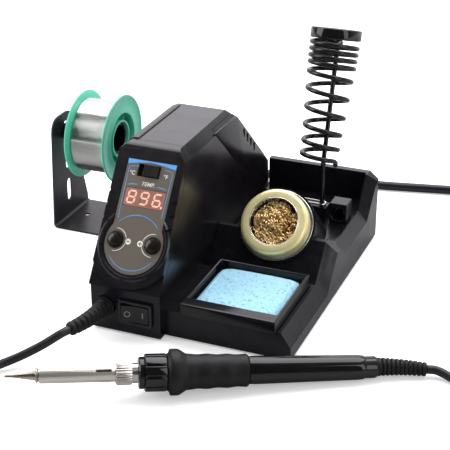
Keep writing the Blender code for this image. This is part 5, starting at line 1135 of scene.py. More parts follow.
@dataclass(frozen=True)
class Relief:
    """A tapering strain relief: a flange, then soft ribs along a short bent path."""

    name: str
    node: str
    path: Array
    ribs: int
    thick: float
    thin: float
    flange: float = 1.22

    def end(self) -> End:
        """The relief's far end and the way out of it."""
        line = smooth_route(self.path, 2 * self.ribs + 3)
        return line[-1], unit(line[-1] - line[-2])

    def build(self) -> bpy.types.Object:
        """The relief: its radius tapers, and dips between the ribs as a rounded wave.

        Returns:
            The new piece, fitted.
        """
        line = smooth_route(self.path, 14 * self.ribs)
        t = np.linspace(0, 1, len(line))
        taper = self.thick + (self.thin - self.thick) * t
        wave = np.clip(1.35 * np.abs(np.sin(np.pi * self.ribs * t)), 0, 1) ** 0.6
        radius = taper * (0.80 + 0.20 * wave)
        radius = np.where(t < 0.05, self.flange * self.thick, radius) * MM
        return fit(tube(self.name, line, radius, 24), RUBBER, Body.STATION, Slot.SOFT_RUBBER, self.node)


@dataclass(frozen=True)
class Cords:
    """The iron's cord with its coil, the mains lead with its coil and plug, and the reliefs."""

    iron_radius: float = 2.5
    mains_radius: float = 3.1
    gap: float = 0.3
    iron_coil: Coil = Coil((20.0, -152.0), 27.5, 4.25, 2.5, -90.0, 1)
    mains_coil: Coil = Coil((98.6, 229.9), 34.0, 5.25, 3.1, 102.7, -1)
    plug_half: float = 13.2
    tail: float = 45.0

    def outlet(self) -> Relief:
        """The relief at the block's front, turning to the left.

        Returns:
            The relief.
        """
        ahead = np.array([(0, 0, 0), (0.2, 4, 0), (1.6, 14.5, 0.2), (4.0, 23.0, 0.5), (7.2, 30.0, 1.0)])
        path = STATION.place(np.array([-111.0, -6.0 - self.gap, 16.5]) - ahead)
        return Relief("front_relief", "iron_cord_outlet", path, 9, 5.2, 4.0)

    def inlet(self) -> Relief:
        """The relief at the base's back, straight out.

        Returns:
            The relief.
        """
        t = np.array([0, 0.35, 0.7, 1])
        path = np.stack([np.full(4, -97.0), 172.3 + 30 * t, 15.0 - 1.2 * t * t], 1)
        return Relief("back_relief", "mains_outlet", STATION.place(path), 8, 6.2, 4.8)

    def handle_relief(self) -> Relief:
        """The relief on the iron, which bends a little towards the front.

        Returns:
            The relief.
        """
        start, far = 199.5, 27.5
        bend = ((0, 0), (0, 0.12), (-1.2, 0.55), (-3.8, 0.98))
        path = np.array([(0, y, start + share * far) for y, share in bend])
        return Relief("handle_relief", "iron_relief", IRON.place(path), 11, 5.1, 3.8, 1.0)

    def between(self, start: End, middle: Array, end: End, radius: float) -> Array:
        """A free stretch from one square end to another, a gap away from each.

        Args:
            start: the first point, and the way out of what the cord meets there.
            middle: the route between, count x 3 in metres.
            end: the last point and the way out there.
            radius: the cord's radius in millimetres.

        Returns:
            The stretch's middle line in metres.
        """
        lead = 2 * radius * MM
        first, last = start[0] + start[1] * self.gap * MM, end[0] + end[1] * self.gap * MM
        route = np.concatenate([[first, first + start[1] * lead], middle, [last + end[1] * lead, last]])
        steps = min(80, max(12, round(run_length(route) / (2.3 * lead))))
        return smooth_route(route, steps, lead)

    def routes(self) -> dict[str, Array]:
        """The middle line of every stretch: the coils, and smooth runs from each end to the next.

        Returns:
            The lines in metres, by the CAD node that holds each.
        """
        iron, mains = self.iron_coil.path(), self.mains_coil.path()
        low, high = self.iron_radius + 0.2, self.mains_radius + 0.2
        left = [(-125.3, -45.2, 12.0), (-133.8, -54.6, 7.6), (-146.2, -67.8, 3.8)]
        left += [(x, y, low) for x, y in (
            (-156, -86), (-156, -115), (-139, -146), (-106, -170), (-62, -183), (-20, -186))]
        right = [(56.0, -128.0, 6.6), (64.0, -110.0, 4.0)]
        right += [(x, y, low) for x, y in (
            (80, -91), (101, -70), (117, -43), (120, -16), (111, 4), (98, 12.5), (86.4, 14.0))]
        back = [(-96.6, 222.0, 9.5), (-88.0, 237.5, 4.8)]
        back += [(x, y, high) for x, y in (
            (-70, 244.5), (-46, 246), (-20.7, 247), (-3.9, 250.3), (13.6, 254.2), (30.9, 258.1), (56, 263.8))]
        left, right, back = (STATION.place(np.array(line)) for line in (left, right, back))
        into_iron, from_iron = (iron[0], unit(iron[0] - iron[1])), (iron[-1], unit(iron[-1] - iron[-2]))
        into_mains, out = (mains[0], unit(mains[0] - mains[1])), (mains[-1], unit(mains[-1] - mains[-2]))
        plug = mains[-1] + out[1] * self.tail * MM
        plug[2] = (self.plug_half + 0.2) * MM
        handle = self.handle_relief().end()
        return {
            "iron_cord_left": self.between(self.outlet().end(), left, into_iron, self.iron_radius),
            "iron_cord_coil": iron,
            "iron_cord_right": self.between(from_iron, right, handle, self.iron_radius),
            "mains_cord": self.between(self.inlet().end(), back, into_mains, self.mains_radius),
            "mains_coil": mains,
            "mains_tail": self.between(out, np.empty((0, 3)), (plug, -out[1]), self.mains_radius),
        }

    def plug(self, at: Array, way: Array) -> list[bpy.types.Object]:
        """The plug: a soft block behind a ribbed neck, two blades and an earth pin.

        Each section of the block is a rounded square whose corners sharpen towards the blades.

        Args:
            at: the end of the neck, in metres.
            way: the way that the blades point.

        Returns:
            Its pieces.
        """
        turn = turned_z(math.atan2(way[1], way[0])) @ turned_y(math.pi / 2)
        datum = Datum(at, turn)
        angle = np.linspace(0, 2 * np.pi, 64, endpoint=False)
        c, s = np.cos(angle), np.sin(angle)
        sections = np.array([(15, 4.6, 4.6, 2.2), (17, 5.1, 5.1, 2.4), (24, 9.2, 9.8, 3.4),
                             (31, 12.4, 12.6, 4.2), (38, 13.1, 13.1, 5.0), (45.2, 13.1, 13.1, 5.0),
                             (46, 12.4, 12.4, 5.0)])
        power = (2 / sections[:, 3])[:, None]
        x = sections[:, 2:3] * np.sign(c) * np.abs(c) ** power
        y = sections[:, 1:2] * np.sign(s) * np.abs(s) ** power
        block = np.stack([x, y, np.broadcast_to(sections[:, :1], x.shape)], -1)
        body = skin("plug_body", datum.place(block), sharp=50)
        t = np.linspace(0, 1, 60)
        neck_radius = 4.7 + 0.8 * t + 0.35 * np.sin(2 * np.pi * 5 * t)
        neck = spun("plug_neck", [(0, 0), *zip(neck_radius.tolist(), (17.5 * t).tolist()), (0, 17.5)], datum)
        flats = bars([(-3.8, -6.35, 6.2, 1.4), (-3.8, 6.35, 6.2, 1.4)])
        blades = prisms("plug_blades", flats, 45, 63.4, datum)
        round_pin = [(0, 45), (2.35, 45), (2.35, 65), (1.4, 66.4), (0, 66.4)]
        pin = spun("plug_pin", round_pin, datum.at(8.1, 0, 0), 32)
        for piece in (body, neck):
            fit(piece, MAINS, Body.STATION, Slot.PLUG_PVC, "mains_plug")
        for piece in (blades, pin):
            fit(piece, STEEL, Body.STATION, Slot.PLUG_PVC, "mains_plug")
        return [body, neck, blades, pin]

    def build(self) -> None:
        routes = self.routes()
        iron_nodes = ("iron_cord_left", "iron_cord_coil", "iron_cord_right")
        mains_nodes = ("mains_cord", "mains_coil", "mains_tail")
        iron = np.concatenate([routes[node] for node in iron_nodes])
        lead = np.concatenate([routes[node] for node in mains_nodes])
        for relief in (self.outlet(), self.inlet(), self.handle_relief()):
            relief.build()
        iron, lead = resampled(iron, 0.0022), resampled(lead, 0.0026)
        cord = tube("iron_cord", iron, self.iron_radius * MM, 14)
        fit(cord, SHEATH, Body.STATION, Slot.CORD_RUBBER, *iron_nodes)
        mains = tube("mains_lead", lead, self.mains_radius * MM, 16)
        fit(mains, MAINS, Body.STATION, Slot.MAINS_PVC, *mains_nodes)
        tail = routes["mains_tail"]
        way = unit(tail[-1] - tail[-2])
        pieces = self.plug(tail[-1] + way * self.gap * MM, way)


# ------------------------------------------------------------------ control unit


@dataclass(frozen=True)
class Panel:
    """The panel: its printed film, the display, the slide switch and the two buttons."""

    half: float = 15.0
    dial: float = 57.7
    button_apart: float = 23.3
    button_line: float = 56.9
    window_line: float = 31.1
    low: float = 0.012
    high: float = 0.06

    def stripe(self, name: str, path: Array, width: float | Array, finish: Plastic) -> None:
        """A printed line along a path on the film, of a width and an ink."""
        fit(ribbon(name, path, width, self.low, self.high, PANEL), finish, Body.STATION, Slot.PANEL_FILM)

    def arc(self, name: str, x: float, down: float, radius: float, start: float, end: float,
            width: float, finish: Plastic) -> None:
        """A printed arc about a point: its width follows half a sine, so that it tapers.

        Args:
            name: the piece's name.
            x: the point's place across the panel, in millimetres.
            down: how far it is down the panel.
            radius: the arc's radius.
            start: its first angle, in degrees.
            end: its last angle.
            width: its width in the middle.
            finish: its ink.
        """
        angle = np.radians(np.linspace(start, end, 48))
        path = np.stack([x + radius * np.cos(angle), -down + radius * np.sin(angle)], 1)
        taper = 0.35 + 0.65 * np.sin(np.linspace(0, np.pi, 48)) ** 0.4
        self.stripe(name, path, width * taper, finish)

    def prints(self) -> None:
        """The band, the frame lines, the arcs, the signs and the plain words of the film."""
        x = np.linspace(-self.half, self.half, 40)
        thick = 0.9 + 2.0 * (np.abs(x) / self.half) ** 1.6
        self.stripe("band", np.stack([x, -9.25 - thick / 2], 1), thick, BAND_INK)
        for name, width, line in (
            ("frame_left", 0.5, [(-7.6, -12.9), (-10.6, -13.1), (-13.3, -13.7), (-13.7, -14.6),
                                 (-13.5, -30.0), (-13.1, -44.5)]),
            ("frame_right", 0.5, [(8.4, -12.9), (11.0, -13.1), (13.3, -13.7), (13.7, -14.6),
                                  (13.5, -26.0), (13.2, -41.0)]),
            ("wing_left", (0.4, 0.7, 0.5), [(-12.2, -24.4), (-9.6, -23.7), (-6.2, -23.5)]),
            ("wing_right", (0.5, 0.7, 0.4), [(6.2, -23.5), (9.6, -23.7), (12.2, -24.4)]),
        ):
            self.stripe(name, np.array(line), np.array(width), BLUE_INK)
        self.arc("arc_upper", 0, self.dial - 0.5, 16.1, 39, 140, 0.6, BLUE_INK)
        self.arc("arc_lower", 0, self.dial - 0.5, 16.1, 216, 326, 0.6, BLUE_INK)
        reach = self.button_apart / 2
        for side, word in ((-1, "left"), (1, "right")):
            first, last = (96, 12) if side < 0 else (84, 168)
            self.arc(f"halo_{word}_up", side * reach, self.button_line, 6.6, first, last, 0.42, WHITE_INK)
            self.arc(f"halo_{word}_low", side * reach, self.button_line, 6.6, -first, -last, 0.42, WHITE_INK)
        minus, plus, disc = (-3.6, -57.0), (3.9, -57.1), 1.75
        discs = np.stack([circle(*minus, disc), circle(*plus, disc)])
        fit(prisms("sign_discs", discs, self.low, self.high, PANEL), WHITE_INK, Body.STATION, Slot.PANEL_FILM)
        signs = bars([(*minus, 2.0, 0.55), (*plus, 2.2, 0.55), (*plus, 0.55, 2.2)])
        signs = prisms("signs", signs, self.high + 0.004, self.high + 0.03, PANEL)
        fit(signs, FILM, Body.STATION, Slot.PANEL_FILM)
        for name, text, size, x, y, shear in (
            ("word_celsius", "°C", 3.3, -11.0, -17.3, 0.0),
            ("word_fahrenheit", "°F", 3.3, 9.9, -17.0, 0.0),
            ("word_temp", "TEMP.", 3.2, 0.2, -22.9, 0.25),
        ):
            fit(lettering(name, text, size, x, y, shear), WHITE_INK, Body.STATION, Slot.PANEL_FILM)

    def digits(self) -> None:
        """Three seven-segment digits and their dots: each segment is a bar with pointed ends."""
        wide, high, thick, lean, between = 4.3, 7.0, 1.05, 0.10, 0.35
        places = {
            "a": (0, 1, 0), "d": (0, -1, 0), "g": (0, 0, 0),
            "b": (1, 0.5, 1), "c": (1, -0.5, 1), "e": (-1, -0.5, 1), "f": (-1, 0.5, 1),
        }
        shown = {-8.0: "abcdefg", 0.0: "abcdfg", 8.0: "acdefg"}
        lit, dark = [], []
        for middle, on in shown.items():
            for key, (sx, sy, upright) in places.items():
                half, rise = ((high / 2 if upright else wide) - between) / 2, thick / 2
                bar = np.array([(-half, 0), (-half + rise, -rise), (half - rise, -rise),
                                (half, 0), (half - rise, rise), (-half + rise, rise)])
                bar = bar[:, ::-1] * [1, -1] if upright else bar
                spot = bar + [sx * wide / 2, sy * high / 2]
                spot = spot + np.stack([spot[:, 1] * lean + middle, np.full(6, -self.window_line)], 1)
                (lit if key in on else dark).append(spot)
        dots = np.stack([circle(x, -self.window_line - 3.7, 0.62, 16) for x in (-4.4, 3.6, 11.3)])
        for name, outlines, finish in (
            ("segments_lit", np.stack(lit), LIT), ("segments_dark", np.stack(dark), UNLIT),
            ("dot_lit", dots[2:], LIT), ("dots_dark", dots[:2], UNLIT),
        ):
            mark = prisms(name, outlines, self.low, self.high, PANEL)
            fit(mark, finish, Body.STATION, Slot.DISPLAY_GREY)

    def buttons(self) -> None:
        """The two round keys, each with a stepped rim and a shallow dome."""
        for name, body, node, side in (("key_minus", Body.MINUS, "minus_button", -1),
                                       ("key_plus", Body.PLUS, "plus_button", 1)):
            datum = PANEL.at(side * self.button_apart / 2, -self.button_line, 0)
            profile = [(0, -6.7), (1.6, -6.7), (1.6, -6.2), (5.7, -6.2), (5.7, -5.3), (4.7, -5.3), (4.7, 1.3),
                       *bow(4.3, 1.3, 0.4, 0, 90, 4), (3.95, 1.72), (3.8, 1.6), (3.6, 1.6), (3.45, 1.85),
                       (2.6, 2.25), (1.4, 2.5), (0, 2.58)]
            fit(spun(name, profile, datum, 48, sharp=30), KEYS, body, Slot.GLOSS_BLACK, node)

    def build(self) -> None:
        """Dresses the film, lens and knob, and adds the prints, digits and keys."""
        dress(FILM, "panel_overlay")
        dress(LENS, "led_window")
        fit(copied("unit_slider", "unit_knob", 0.12), KEYS, Body.SLIDER, Slot.GLOSS_BLACK, "unit_slider")
        self.prints()
        self.digits()
        self.buttons()


@dataclass(frozen=True)
class ControlUnit:
    """The left side: the housing's shells, its panel, the power switch and what is inside."""

    panel: Panel = Panel()
    edge: float = 0.7
    bezel_edge: float = 0.35
    flank: float = -75.09  # where the right wall meets the deck's height, and how far it leans in
    flank_foot: float = 30.3
    flank_lean: float = math.radians(2.607)
    rocker_lean: float = math.radians(7)

    def shells(self) -> None:
        """The four shells of the housing, with softly moulded edges."""
        for node in ("front_bezel", "housing_body", "left_cheek", "rear_cover"):
            width = self.bezel_edge if node == "front_bezel" else self.edge
            fit(copied(node, node + "_moulding", width), CASE, Body.STATION, Slot.BLACK_PLASTIC, node)

    def flank_at(self, height: float | Array) -> float | Array:
        """How far across the housing's leaning right wall is at a height, in millimetres."""
        return self.flank - (height - self.flank_foot) * math.tan(self.flank_lean)

    def cheek_edge(self) -> bpy.types.Object:
        """The left shell's proud edge: a rounded section carried back, which bends down a slope.

        Returns:
            The new object.
        """
        section = np.array([(-119.7, 96.4), (-118.9, 98.3), (-117.2, 99.9), (-115.2, 100.75),
                            (-112.9, 100.95), (-112.2, 100.6), (-112.0, 99.6), (-115.0, 98.0),
                            (-118.6, 95.6)])
        slope, bend, run = 0.95, 104, 12
        along = np.concatenate([[46.6, 47.0], np.linspace(48, bend, 8), bend + run * np.linspace(0, 1, 9)[1:],
                                np.linspace(120, 150, 6)])
        eased, straight = (along - bend) ** 2 / (2 * run) * slope, 5.7 + (along - bend - run) * slope
        drop = np.where(along < bend, 0, np.where(along < bend + run, eased, straight))
        shrink = np.ones(len(along))
        shrink[0], shrink[-1] = 0.9, 0.9
        middle = section.mean(0)
        rings = middle + (section[None] - middle) * shrink[:, None, None]
        y = np.broadcast_to(along[:, None], rings.shape[:2])
        points = np.stack([rings[..., 0], y, rings[..., 1] - drop[:, None]], -1)
        return skin("cheek_edge", STATION.place(points), sharp=50)

    def cover_wedge(self) -> bpy.types.Object:
        """The raised wedge on the flank: its outline, drawn in a little at each step outwards.

        Returns:
            The new object.
        """
        outline = np.array([(80.6, 95.6), (124.4, 53.6), (126.6, 52.6), (160.0, 50.2), (160.0, 52.3),
                            (116.4, 93.6), (113.4, 95.6)])
        middle = outline.mean(0)
        rings = []
        for scale, proud in ((1.0, -0.5), (1.0, 0.35), (0.985, 0.62), (0.97, 0.70)):
            flat = middle + (outline - middle) * scale
            rings.append(np.stack([self.flank_at(flat[:, 1]) + proud, flat[:, 0], flat[:, 1]], -1))
        return skin("cover_wedge", STATION.place(np.array(rings)), sharp=40)

    def trims(self) -> None:
        """The left shell's proud edge, the back cover's raised wedge, and four near-black strips of painted
        shade for its vent notches.
        """
        fit(self.cheek_edge(), CASE, Body.STATION, Slot.BLACK_PLASTIC)
        fit(self.cover_wedge(), CASE, Body.STATION, Slot.BLACK_PLASTIC)
        # painted shade: each vent notch is a thin near-black strip on the flank
        path = np.stack([np.linspace(-4.2, 4.2, 9), np.zeros(9)], 1)
        for i in range(4):
            y, z = 125.4 + 5.4 * i, 78.6 - 5.1 * i
            datum = STATION.at(self.flank_at(z) + 0.72, y, z, turned_y(math.pi / 2))
            shadow_strip = ribbon(f"vent_shade_strip_{i}", path, 1.9, -0.3, 0.03, datum)
            fit(shadow_strip, VENT_SHADE, Body.STATION, Slot.BLACK_PLASTIC)

    def rocker_half(self, side: int) -> Datum:
        """The frame on one half of the rocker's face, -1 for the left, which leans from its middle."""
        reach, face = 4.6, turned_z(-side * self.rocker_lean) @ turned_x(math.pi / 2)
        return ROCKER.at(side * reach, -3.02 - reach * math.tan(self.rocker_lean), 0, face)

    def power(self) -> None:
        """The power switch: frame, rocker, and the plain ring and bar on its two halves."""
        frame_piece = copied("power_frame", "switch_frame", 0.3)
        fit(frame_piece, CASE, Body.STATION, Slot.BLACK_PLASTIC, "power_frame")
        rocker = copied("power_rocker", "switch_rocker", 0.3)
        fit(rocker, SHINE, Body.ROCKER, Slot.GLOSS_BLACK, "power_rocker")
        line, thick = [(1.45, 0.0), (1.85, 0.0), (1.85, 0.05), (1.45, 0.05)], 0.05
        ring = spun("mark_ring", line, self.rocker_half(-1), 40, ring=True)
        fit(ring, SWITCH_INK, Body.ROCKER, Slot.GLOSS_BLACK)
        bar = prisms("mark_bar", bars([(0, 0, 0.55, 3.6)]), 0.0, thick, self.rocker_half(1))
        fit(bar, SWITCH_INK, Body.ROCKER, Slot.GLOSS_BLACK)

    def inside(self) -> None:
        """The boards, the display's block, the heat sink and the slide switch's body."""
        dress(BOARD, "display_board", "control_board")
        dress(ALLOY, "heat_sink")
        dress(STEEL, "unit_switch")
        dress(UNLIT, "led_display")

    def build(self) -> None:
        """Builds the whole unit."""
        self.shells()
        self.trims()
        self.panel.build()
        self.power()
        self.inside()


# ------------------------------------------------------------------ stand


@dataclass(frozen=True)
class Stand:
    """The base with its tray and sponge, the wire wool cleaner, and the iron's holder."""

    lean: float = math.radians(16.5)
    wire: float = 1.5
    bend: tuple[float, float, float] = (-26.0, 132.0, 64.0)  # where the stem leans into the coil
    coil_forward: float = 6.4  # how far the coil's axis stands before the stem
    coil_foot: float = 11.0
    coil_growth: float = 3.2
    sponge_rise: float = 2.4
    sponge_spread: float = 0.7
    lid_top: float = 10.2
    curls: int = 340

    def base(self) -> None:
        """The moulded base, its plate, feet and screws, and the spare socket."""
        for node, name, width in (("base_shell", "base_moulding", 0.7), ("base_plate", "base_cover", 0.3),
                                  ("spare_socket", "spare_block", 0.3)):
            fit(copied(node, name, width), STAND, Body.STATION, Slot.BLACK_PLASTIC, node)
        dress(RUBBER, "foot_front_left", "foot_front_right", "foot_back_left", "foot_back_right")
        dress(STEEL, "base_screw_front_left", "base_screw_back_right", "bracket_screw_front",
              "bracket_screw_back", "holder_clip", "socket_clip")

    def tray(self) -> None:
        """The tray, and the sponge that lies in it."""
        fit(copied("sponge_tray", "tray_moulding", 0.5), TRAY, Body.TRAY, Slot.GLOSS_BLACK, "sponge_tray")
        low, high = (np.array(c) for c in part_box("sponge"))
        fit(self.sponge(low, high), SPONGE, Body.TRAY, Slot.SPONGE_BLUE, "sponge")

    def sponge(self, low: Array, high: Array) -> bpy.types.Object:
        """The sponge between two corners: rounded loops drawn in to a pole below and above.

        A row of the surface is a loop with softly squared corners; the rows run from the middle
        of the underside over the edge to the middle of the top, which swells and dips a little.

        Args:
            low: its lowest corner in metres.
            high: its highest corner.

        Returns:
            The new object.
        """
        rows, cols = 96, 220
        high = high + np.array([0.0, 0.0, self.sponge_rise]) * MM
        spread = np.array([self.sponge_spread, self.sponge_spread, 0.0]) * MM
        middle, half = (low + high) / 2, (high - low) / 2 + spread
        t = np.linspace(0, 1, rows)[:, None]
        share = np.clip(np.minimum(t, 1 - t) * 2.55, 0, 1) ** 0.9
        level = -np.cos(np.pi * t)
        level = np.sign(level) * np.clip(np.abs(level) * 1.9, 0, 1)
        edge = np.sqrt(np.clip(1 - np.clip((np.abs(level) - 0.82) / 0.18, 0, 1) ** 2, 0, 1))
        angle = np.linspace(0, 2 * np.pi, cols, endpoint=False)[None]
        c, s = np.cos(angle), np.sin(angle)
        corner = 2 / 9.0
        ox, oy = np.sign(c) * np.abs(c) ** corner, np.sign(s) * np.abs(s) ** corner
        pull = 1 - 0.008 * (1 + np.sin(5 * angle + 0.6) * np.sin(11 * angle)) - 0.020 * (1 - edge)
        pull = pull - 0.006 * (1 + np.sin(37 * angle) * np.sin(23 * angle + 0.8))
        x, y = share * ox * pull, share * oy * pull
        swell = 0.45 * np.sin(3.1 * x + 0.5) * np.cos(2.3 * y)
        swell = swell + 0.22 * np.sin(11 * x + 1) * np.sin(13 * y + 2)
        swell = swell + 0.12 * np.sin(31 * x) * np.sin(27 * y + 1)
        z = level * half[2] + np.where(level > 0.9, (swell - 0.75) * MM, 0)
        points = middle + np.stack([x * half[0], y * half[1], np.broadcast_to(z, x.shape)], -1)
        return skin("sponge_pad", points, sharp=80)

    def cleaner(self) -> None:
        """The cup, the gold ring with its silver edges, and the curly wool over a dark core of painted shade.
        """
        cup = [(0, -24), (17.5, -24), *bow(17.5, -22, 2.0, -90, 0), (19.5, 1.5), (22.2, 1.5),
               *bow(22.2, 1.95, 0.45, -60, 90), (18.6, 2.4), (18.6, -21.1), (16.6, -23.1), (0, -23.1)]
        fit(spun("cup_drawn", cup, CLEANER, 96), SILVER, Body.CLEANER, Slot.STEEL, "cleaner_cup")
        top = self.lid_top
        ring = [(20.6, 2.7), (21.0, 3.5), *bow(18.2, top - 2.8, 2.8, 4, 84, 9),
                *bow(15.7, top - 0.9, 0.9, 90, 190, 6), (14.8, top - 4), (15.6, top - 4), (15.8, top - 1.8),
                (17.4, top - 1.8), (17.4, -2.3), (18.2, -2.3), (18.2, 2.7)]
        fit(spun("lid_ring", ring, CLEANER, 96, ring=True), GOLD, Body.RING, Slot.GOLD_PLATE, "cleaner_lid")
        lip = [(14.82, top - 3.9), (15.55, top - 1.2), (15.5, top - 0.4),
               *bow(14.95, top - 0.35, 0.38, 60, 200, 6), (14.3, top - 3.9)]
        fit(spun("lid_lip", lip, CLEANER, 96, ring=True), SILVER, Body.RING, Slot.GOLD_PLATE)
        # painted shade: a dark brown solid under the curls stands for the shade deep in the wool
        crown = [(0, -22.8), (14.5, -22.8), (17.3, -19.8), (17.3, 2.0), (13.8, 4.0), (11.0, 5.2),
                 (7.0, 6.3), (3.0, 6.9), (0, 7.0)]
        fit(spun("wool_shade_core", crown, CLEANER, 64), WOOL_SHADE, Body.CLEANER, Slot.BRASS_WIRE, "brass_wool")
        fit(self.wool(), WOOL, Body.CLEANER, Slot.BRASS_WIRE, "brass_wool")

    def wool(self) -> bpy.types.Object:
        """The curly wool: many short springs of flat wire, heaped to a crown inside the ring.

        Each curl is a helix about a line of its own; its wire is a thin triangle carried along it.

        Returns:
            All the curls as one piece.
        """
        rng = np.random.default_rng(7)
        count, steps, sides = self.curls, 40, 3
        ring = 12.6 * np.sqrt(rng.random(count))
        turn = rng.random(count) * 2 * np.pi
        height = 4.0 + 3.6 * (1 - (ring / 13.5) ** 2) * rng.random(count) ** 0.5
        centre = np.stack([ring * np.cos(turn), ring * np.sin(turn), height], 1)
        axis = unit(rng.normal(size=(count, 3)) * [1, 1, 0.35])
        first = unit(np.cross(axis, rng.normal(size=(count, 3))))
        second = np.cross(axis, first)
        t = np.linspace(0, 1, steps)[None, :, None]
        spin = rng.uniform(1.2, 2.4, count)[:, None, None] * 2 * np.pi * t
        spin = spin + rng.uniform(0, 6, count)[:, None, None]
        radius = rng.uniform(1.5, 3.3, count)[:, None, None]
        slide = rng.uniform(2.0, 5.2, count)[:, None, None] * (t - 0.5)
        line = centre[:, None] + radius * (first[:, None] * np.cos(spin) + second[:, None] * np.sin(spin))
        line = line + axis[:, None] * slide
        flat = np.linalg.norm(line[..., :2], axis=-1, keepdims=True)
        line[..., :2] *= np.minimum(1, 14.0 / np.maximum(flat, 1e-6))
        line[..., 2] = np.clip(line[..., 2], 2.6, 9.6)
        ahead = unit(np.gradient(line, axis=1) + 1e-9)
        side = unit(np.cross(ahead, axis[:, None] + 0.01))
        lift = np.cross(ahead, side)
        angle = np.linspace(0, 2 * np.pi, sides, endpoint=False)[None, None, :, None]
        thin, broad = side[:, :, None] * 0.17, lift[:, :, None] * 0.42
        points = CLEANER.place(line[:, :, None] + thin * np.cos(angle) + broad * np.sin(angle))
        index = np.arange(count * steps * sides).reshape(count, steps, sides)
        right = np.roll(index, -1, axis=2)
        quads = np.stack([index[:, :-1], right[:, :-1], right[:, 1:], index[:, 1:]], -1).reshape(-1, 4)
        faces = quads.tolist() + index[:, 0, ::-1].tolist() + index[:, -1].tolist()
        return finished("wool_curls", points.reshape(-1, 3), faces, 70)

    def holder(self) -> None:
        """The sprung holder: one wire from its hooked end up the turns and down the stem."""
        path = self.holder_path()
        wire = tube("holder_spring", resampled(path, 0.0011), self.wire * MM, 16)
        fit(wire, HOLDER, Body.HOLDER, Slot.GLOSS_BLACK, "holder_wire")
        up, back = self.directions()
        top = self.heights()[-1] + self.wire + 0.3
        origin = STATION.place(np.array(self.bend) - back * self.coil_forward)
        datum = Datum(origin, np.stack([[1, 0, 0], back, up], 1))
        outer = self.coil_foot + self.coil_growth + self.wire
        ring = [(outer - 3.6, top), (outer - 0.5, top), *bow(outer - 0.6, top + 0.6, 0.6, -60, 0, 3),
                *bow(outer - 0.6, top + 5.9, 0.6, 0, 90, 4), (outer - 2.4, top + 6.5),
                (outer - 3.3, top + 6.0), (outer - 3.6, top + 5.2)]
        collar = spun("holder_ring", ring, datum, 80, ring=True)
        fit(collar, SHINE, Body.HOLDER, Slot.GLOSS_BLACK, "holder_collar")

    def directions(self) -> tuple[Array, Array]:
        """The way up the leaning coil, and the way back from it."""
        s, c = math.sin(self.lean), math.cos(self.lean)
        return np.array([0, s, c]), np.array([0, c, -s])

    def heights(self) -> Array:
        """How far up its axis each point of the coil lies.

        Each turn rises by a close pitch and a share that eases up to open turns and down again.

        Returns:
            The heights in millimetres, ten to a turn.
        """
        close, opening = 4.0, 7.5
        turn = (np.arange(96) + 0.5) / 10

        def ease(share: Array) -> Array:
            """A smooth step from 0 to 1."""
            share = np.clip(share, 0, 1)
            return share * share * (3 - 2 * share)

        opened = (0.45 + 0.55 * ease(turn / 3.4)) * (1 - ease((turn - 4.4) / 2.2))
        return np.concatenate([[3.7], 3.7 + np.cumsum(close + opening * opened) / 10])

    def holder_path(self) -> Array:
        """The wire's middle line: a widening helix about the leaning axis, then the stem.

        Returns:
            Its points, in metres, from the hooked end to the stem's foot.
        """
        up, back = self.directions()
        across = np.array([1.0, 0, 0])
        bend = np.array(self.bend)
        heights = self.heights()
        low, top = heights[0], heights[-1]

        def coil(angle: Array, along: Array, radius: Array) -> Array:
            """Points about the coil's own axis.

            Args:
                angle: the angle of each from the way back, in radians.
                along: its height along the axis, in millimetres.
                radius: its distance from the axis.

            Returns:
                The points.
            """
            share = ((along - low) / (top - low))[:, None]
            centre = bend + up * along[:, None] - back * self.coil_forward - across * 1.5 * (1 - share)
            way = back * np.cos(angle)[:, None] + across * np.sin(angle)[:, None]
            return centre + way * radius[:, None]

        start = math.radians(102)
        share = np.clip((heights - low) / (top - low), 0, 1)
        radius = self.coil_foot + self.coil_growth * share * share * (3 - 2 * share)
        hook = coil(start - np.radians([32, 17]), np.array([low - 3.0, low - 1.2]), np.array([10.8, 11.0]))
        body = coil(start + 2 * np.pi * np.arange(len(heights)) / 10, heights, radius)
        turn = start + 2 * np.pi * 9.6
        over = coil(turn + np.radians([16, 31, 44, 50]), np.full(4, top), np.array([13.6, 12.6, 10.6, 8.3]))
        over[3] -= up * 0.6
        stem = bend + up * np.array([top - 2.8, top - 6.2, top - 12, top - 30, top - 50, 9.0])[:, None]
        foot = bend - np.array([3.0, 14, 23, 32, 35])[:, None] * [0, 0, 1]
        foot = np.concatenate([[bend + up * 4.0 + [0, 0, 0.4]], foot])
        return STATION.place(np.concatenate([hook, body, over, stem, foot]))

    def build(self) -> None:
        """Builds the whole stand."""
        self.base()
        self.tray()
        self.cleaner()
        self.holder()


# ------------------------------------------------------------------ solder


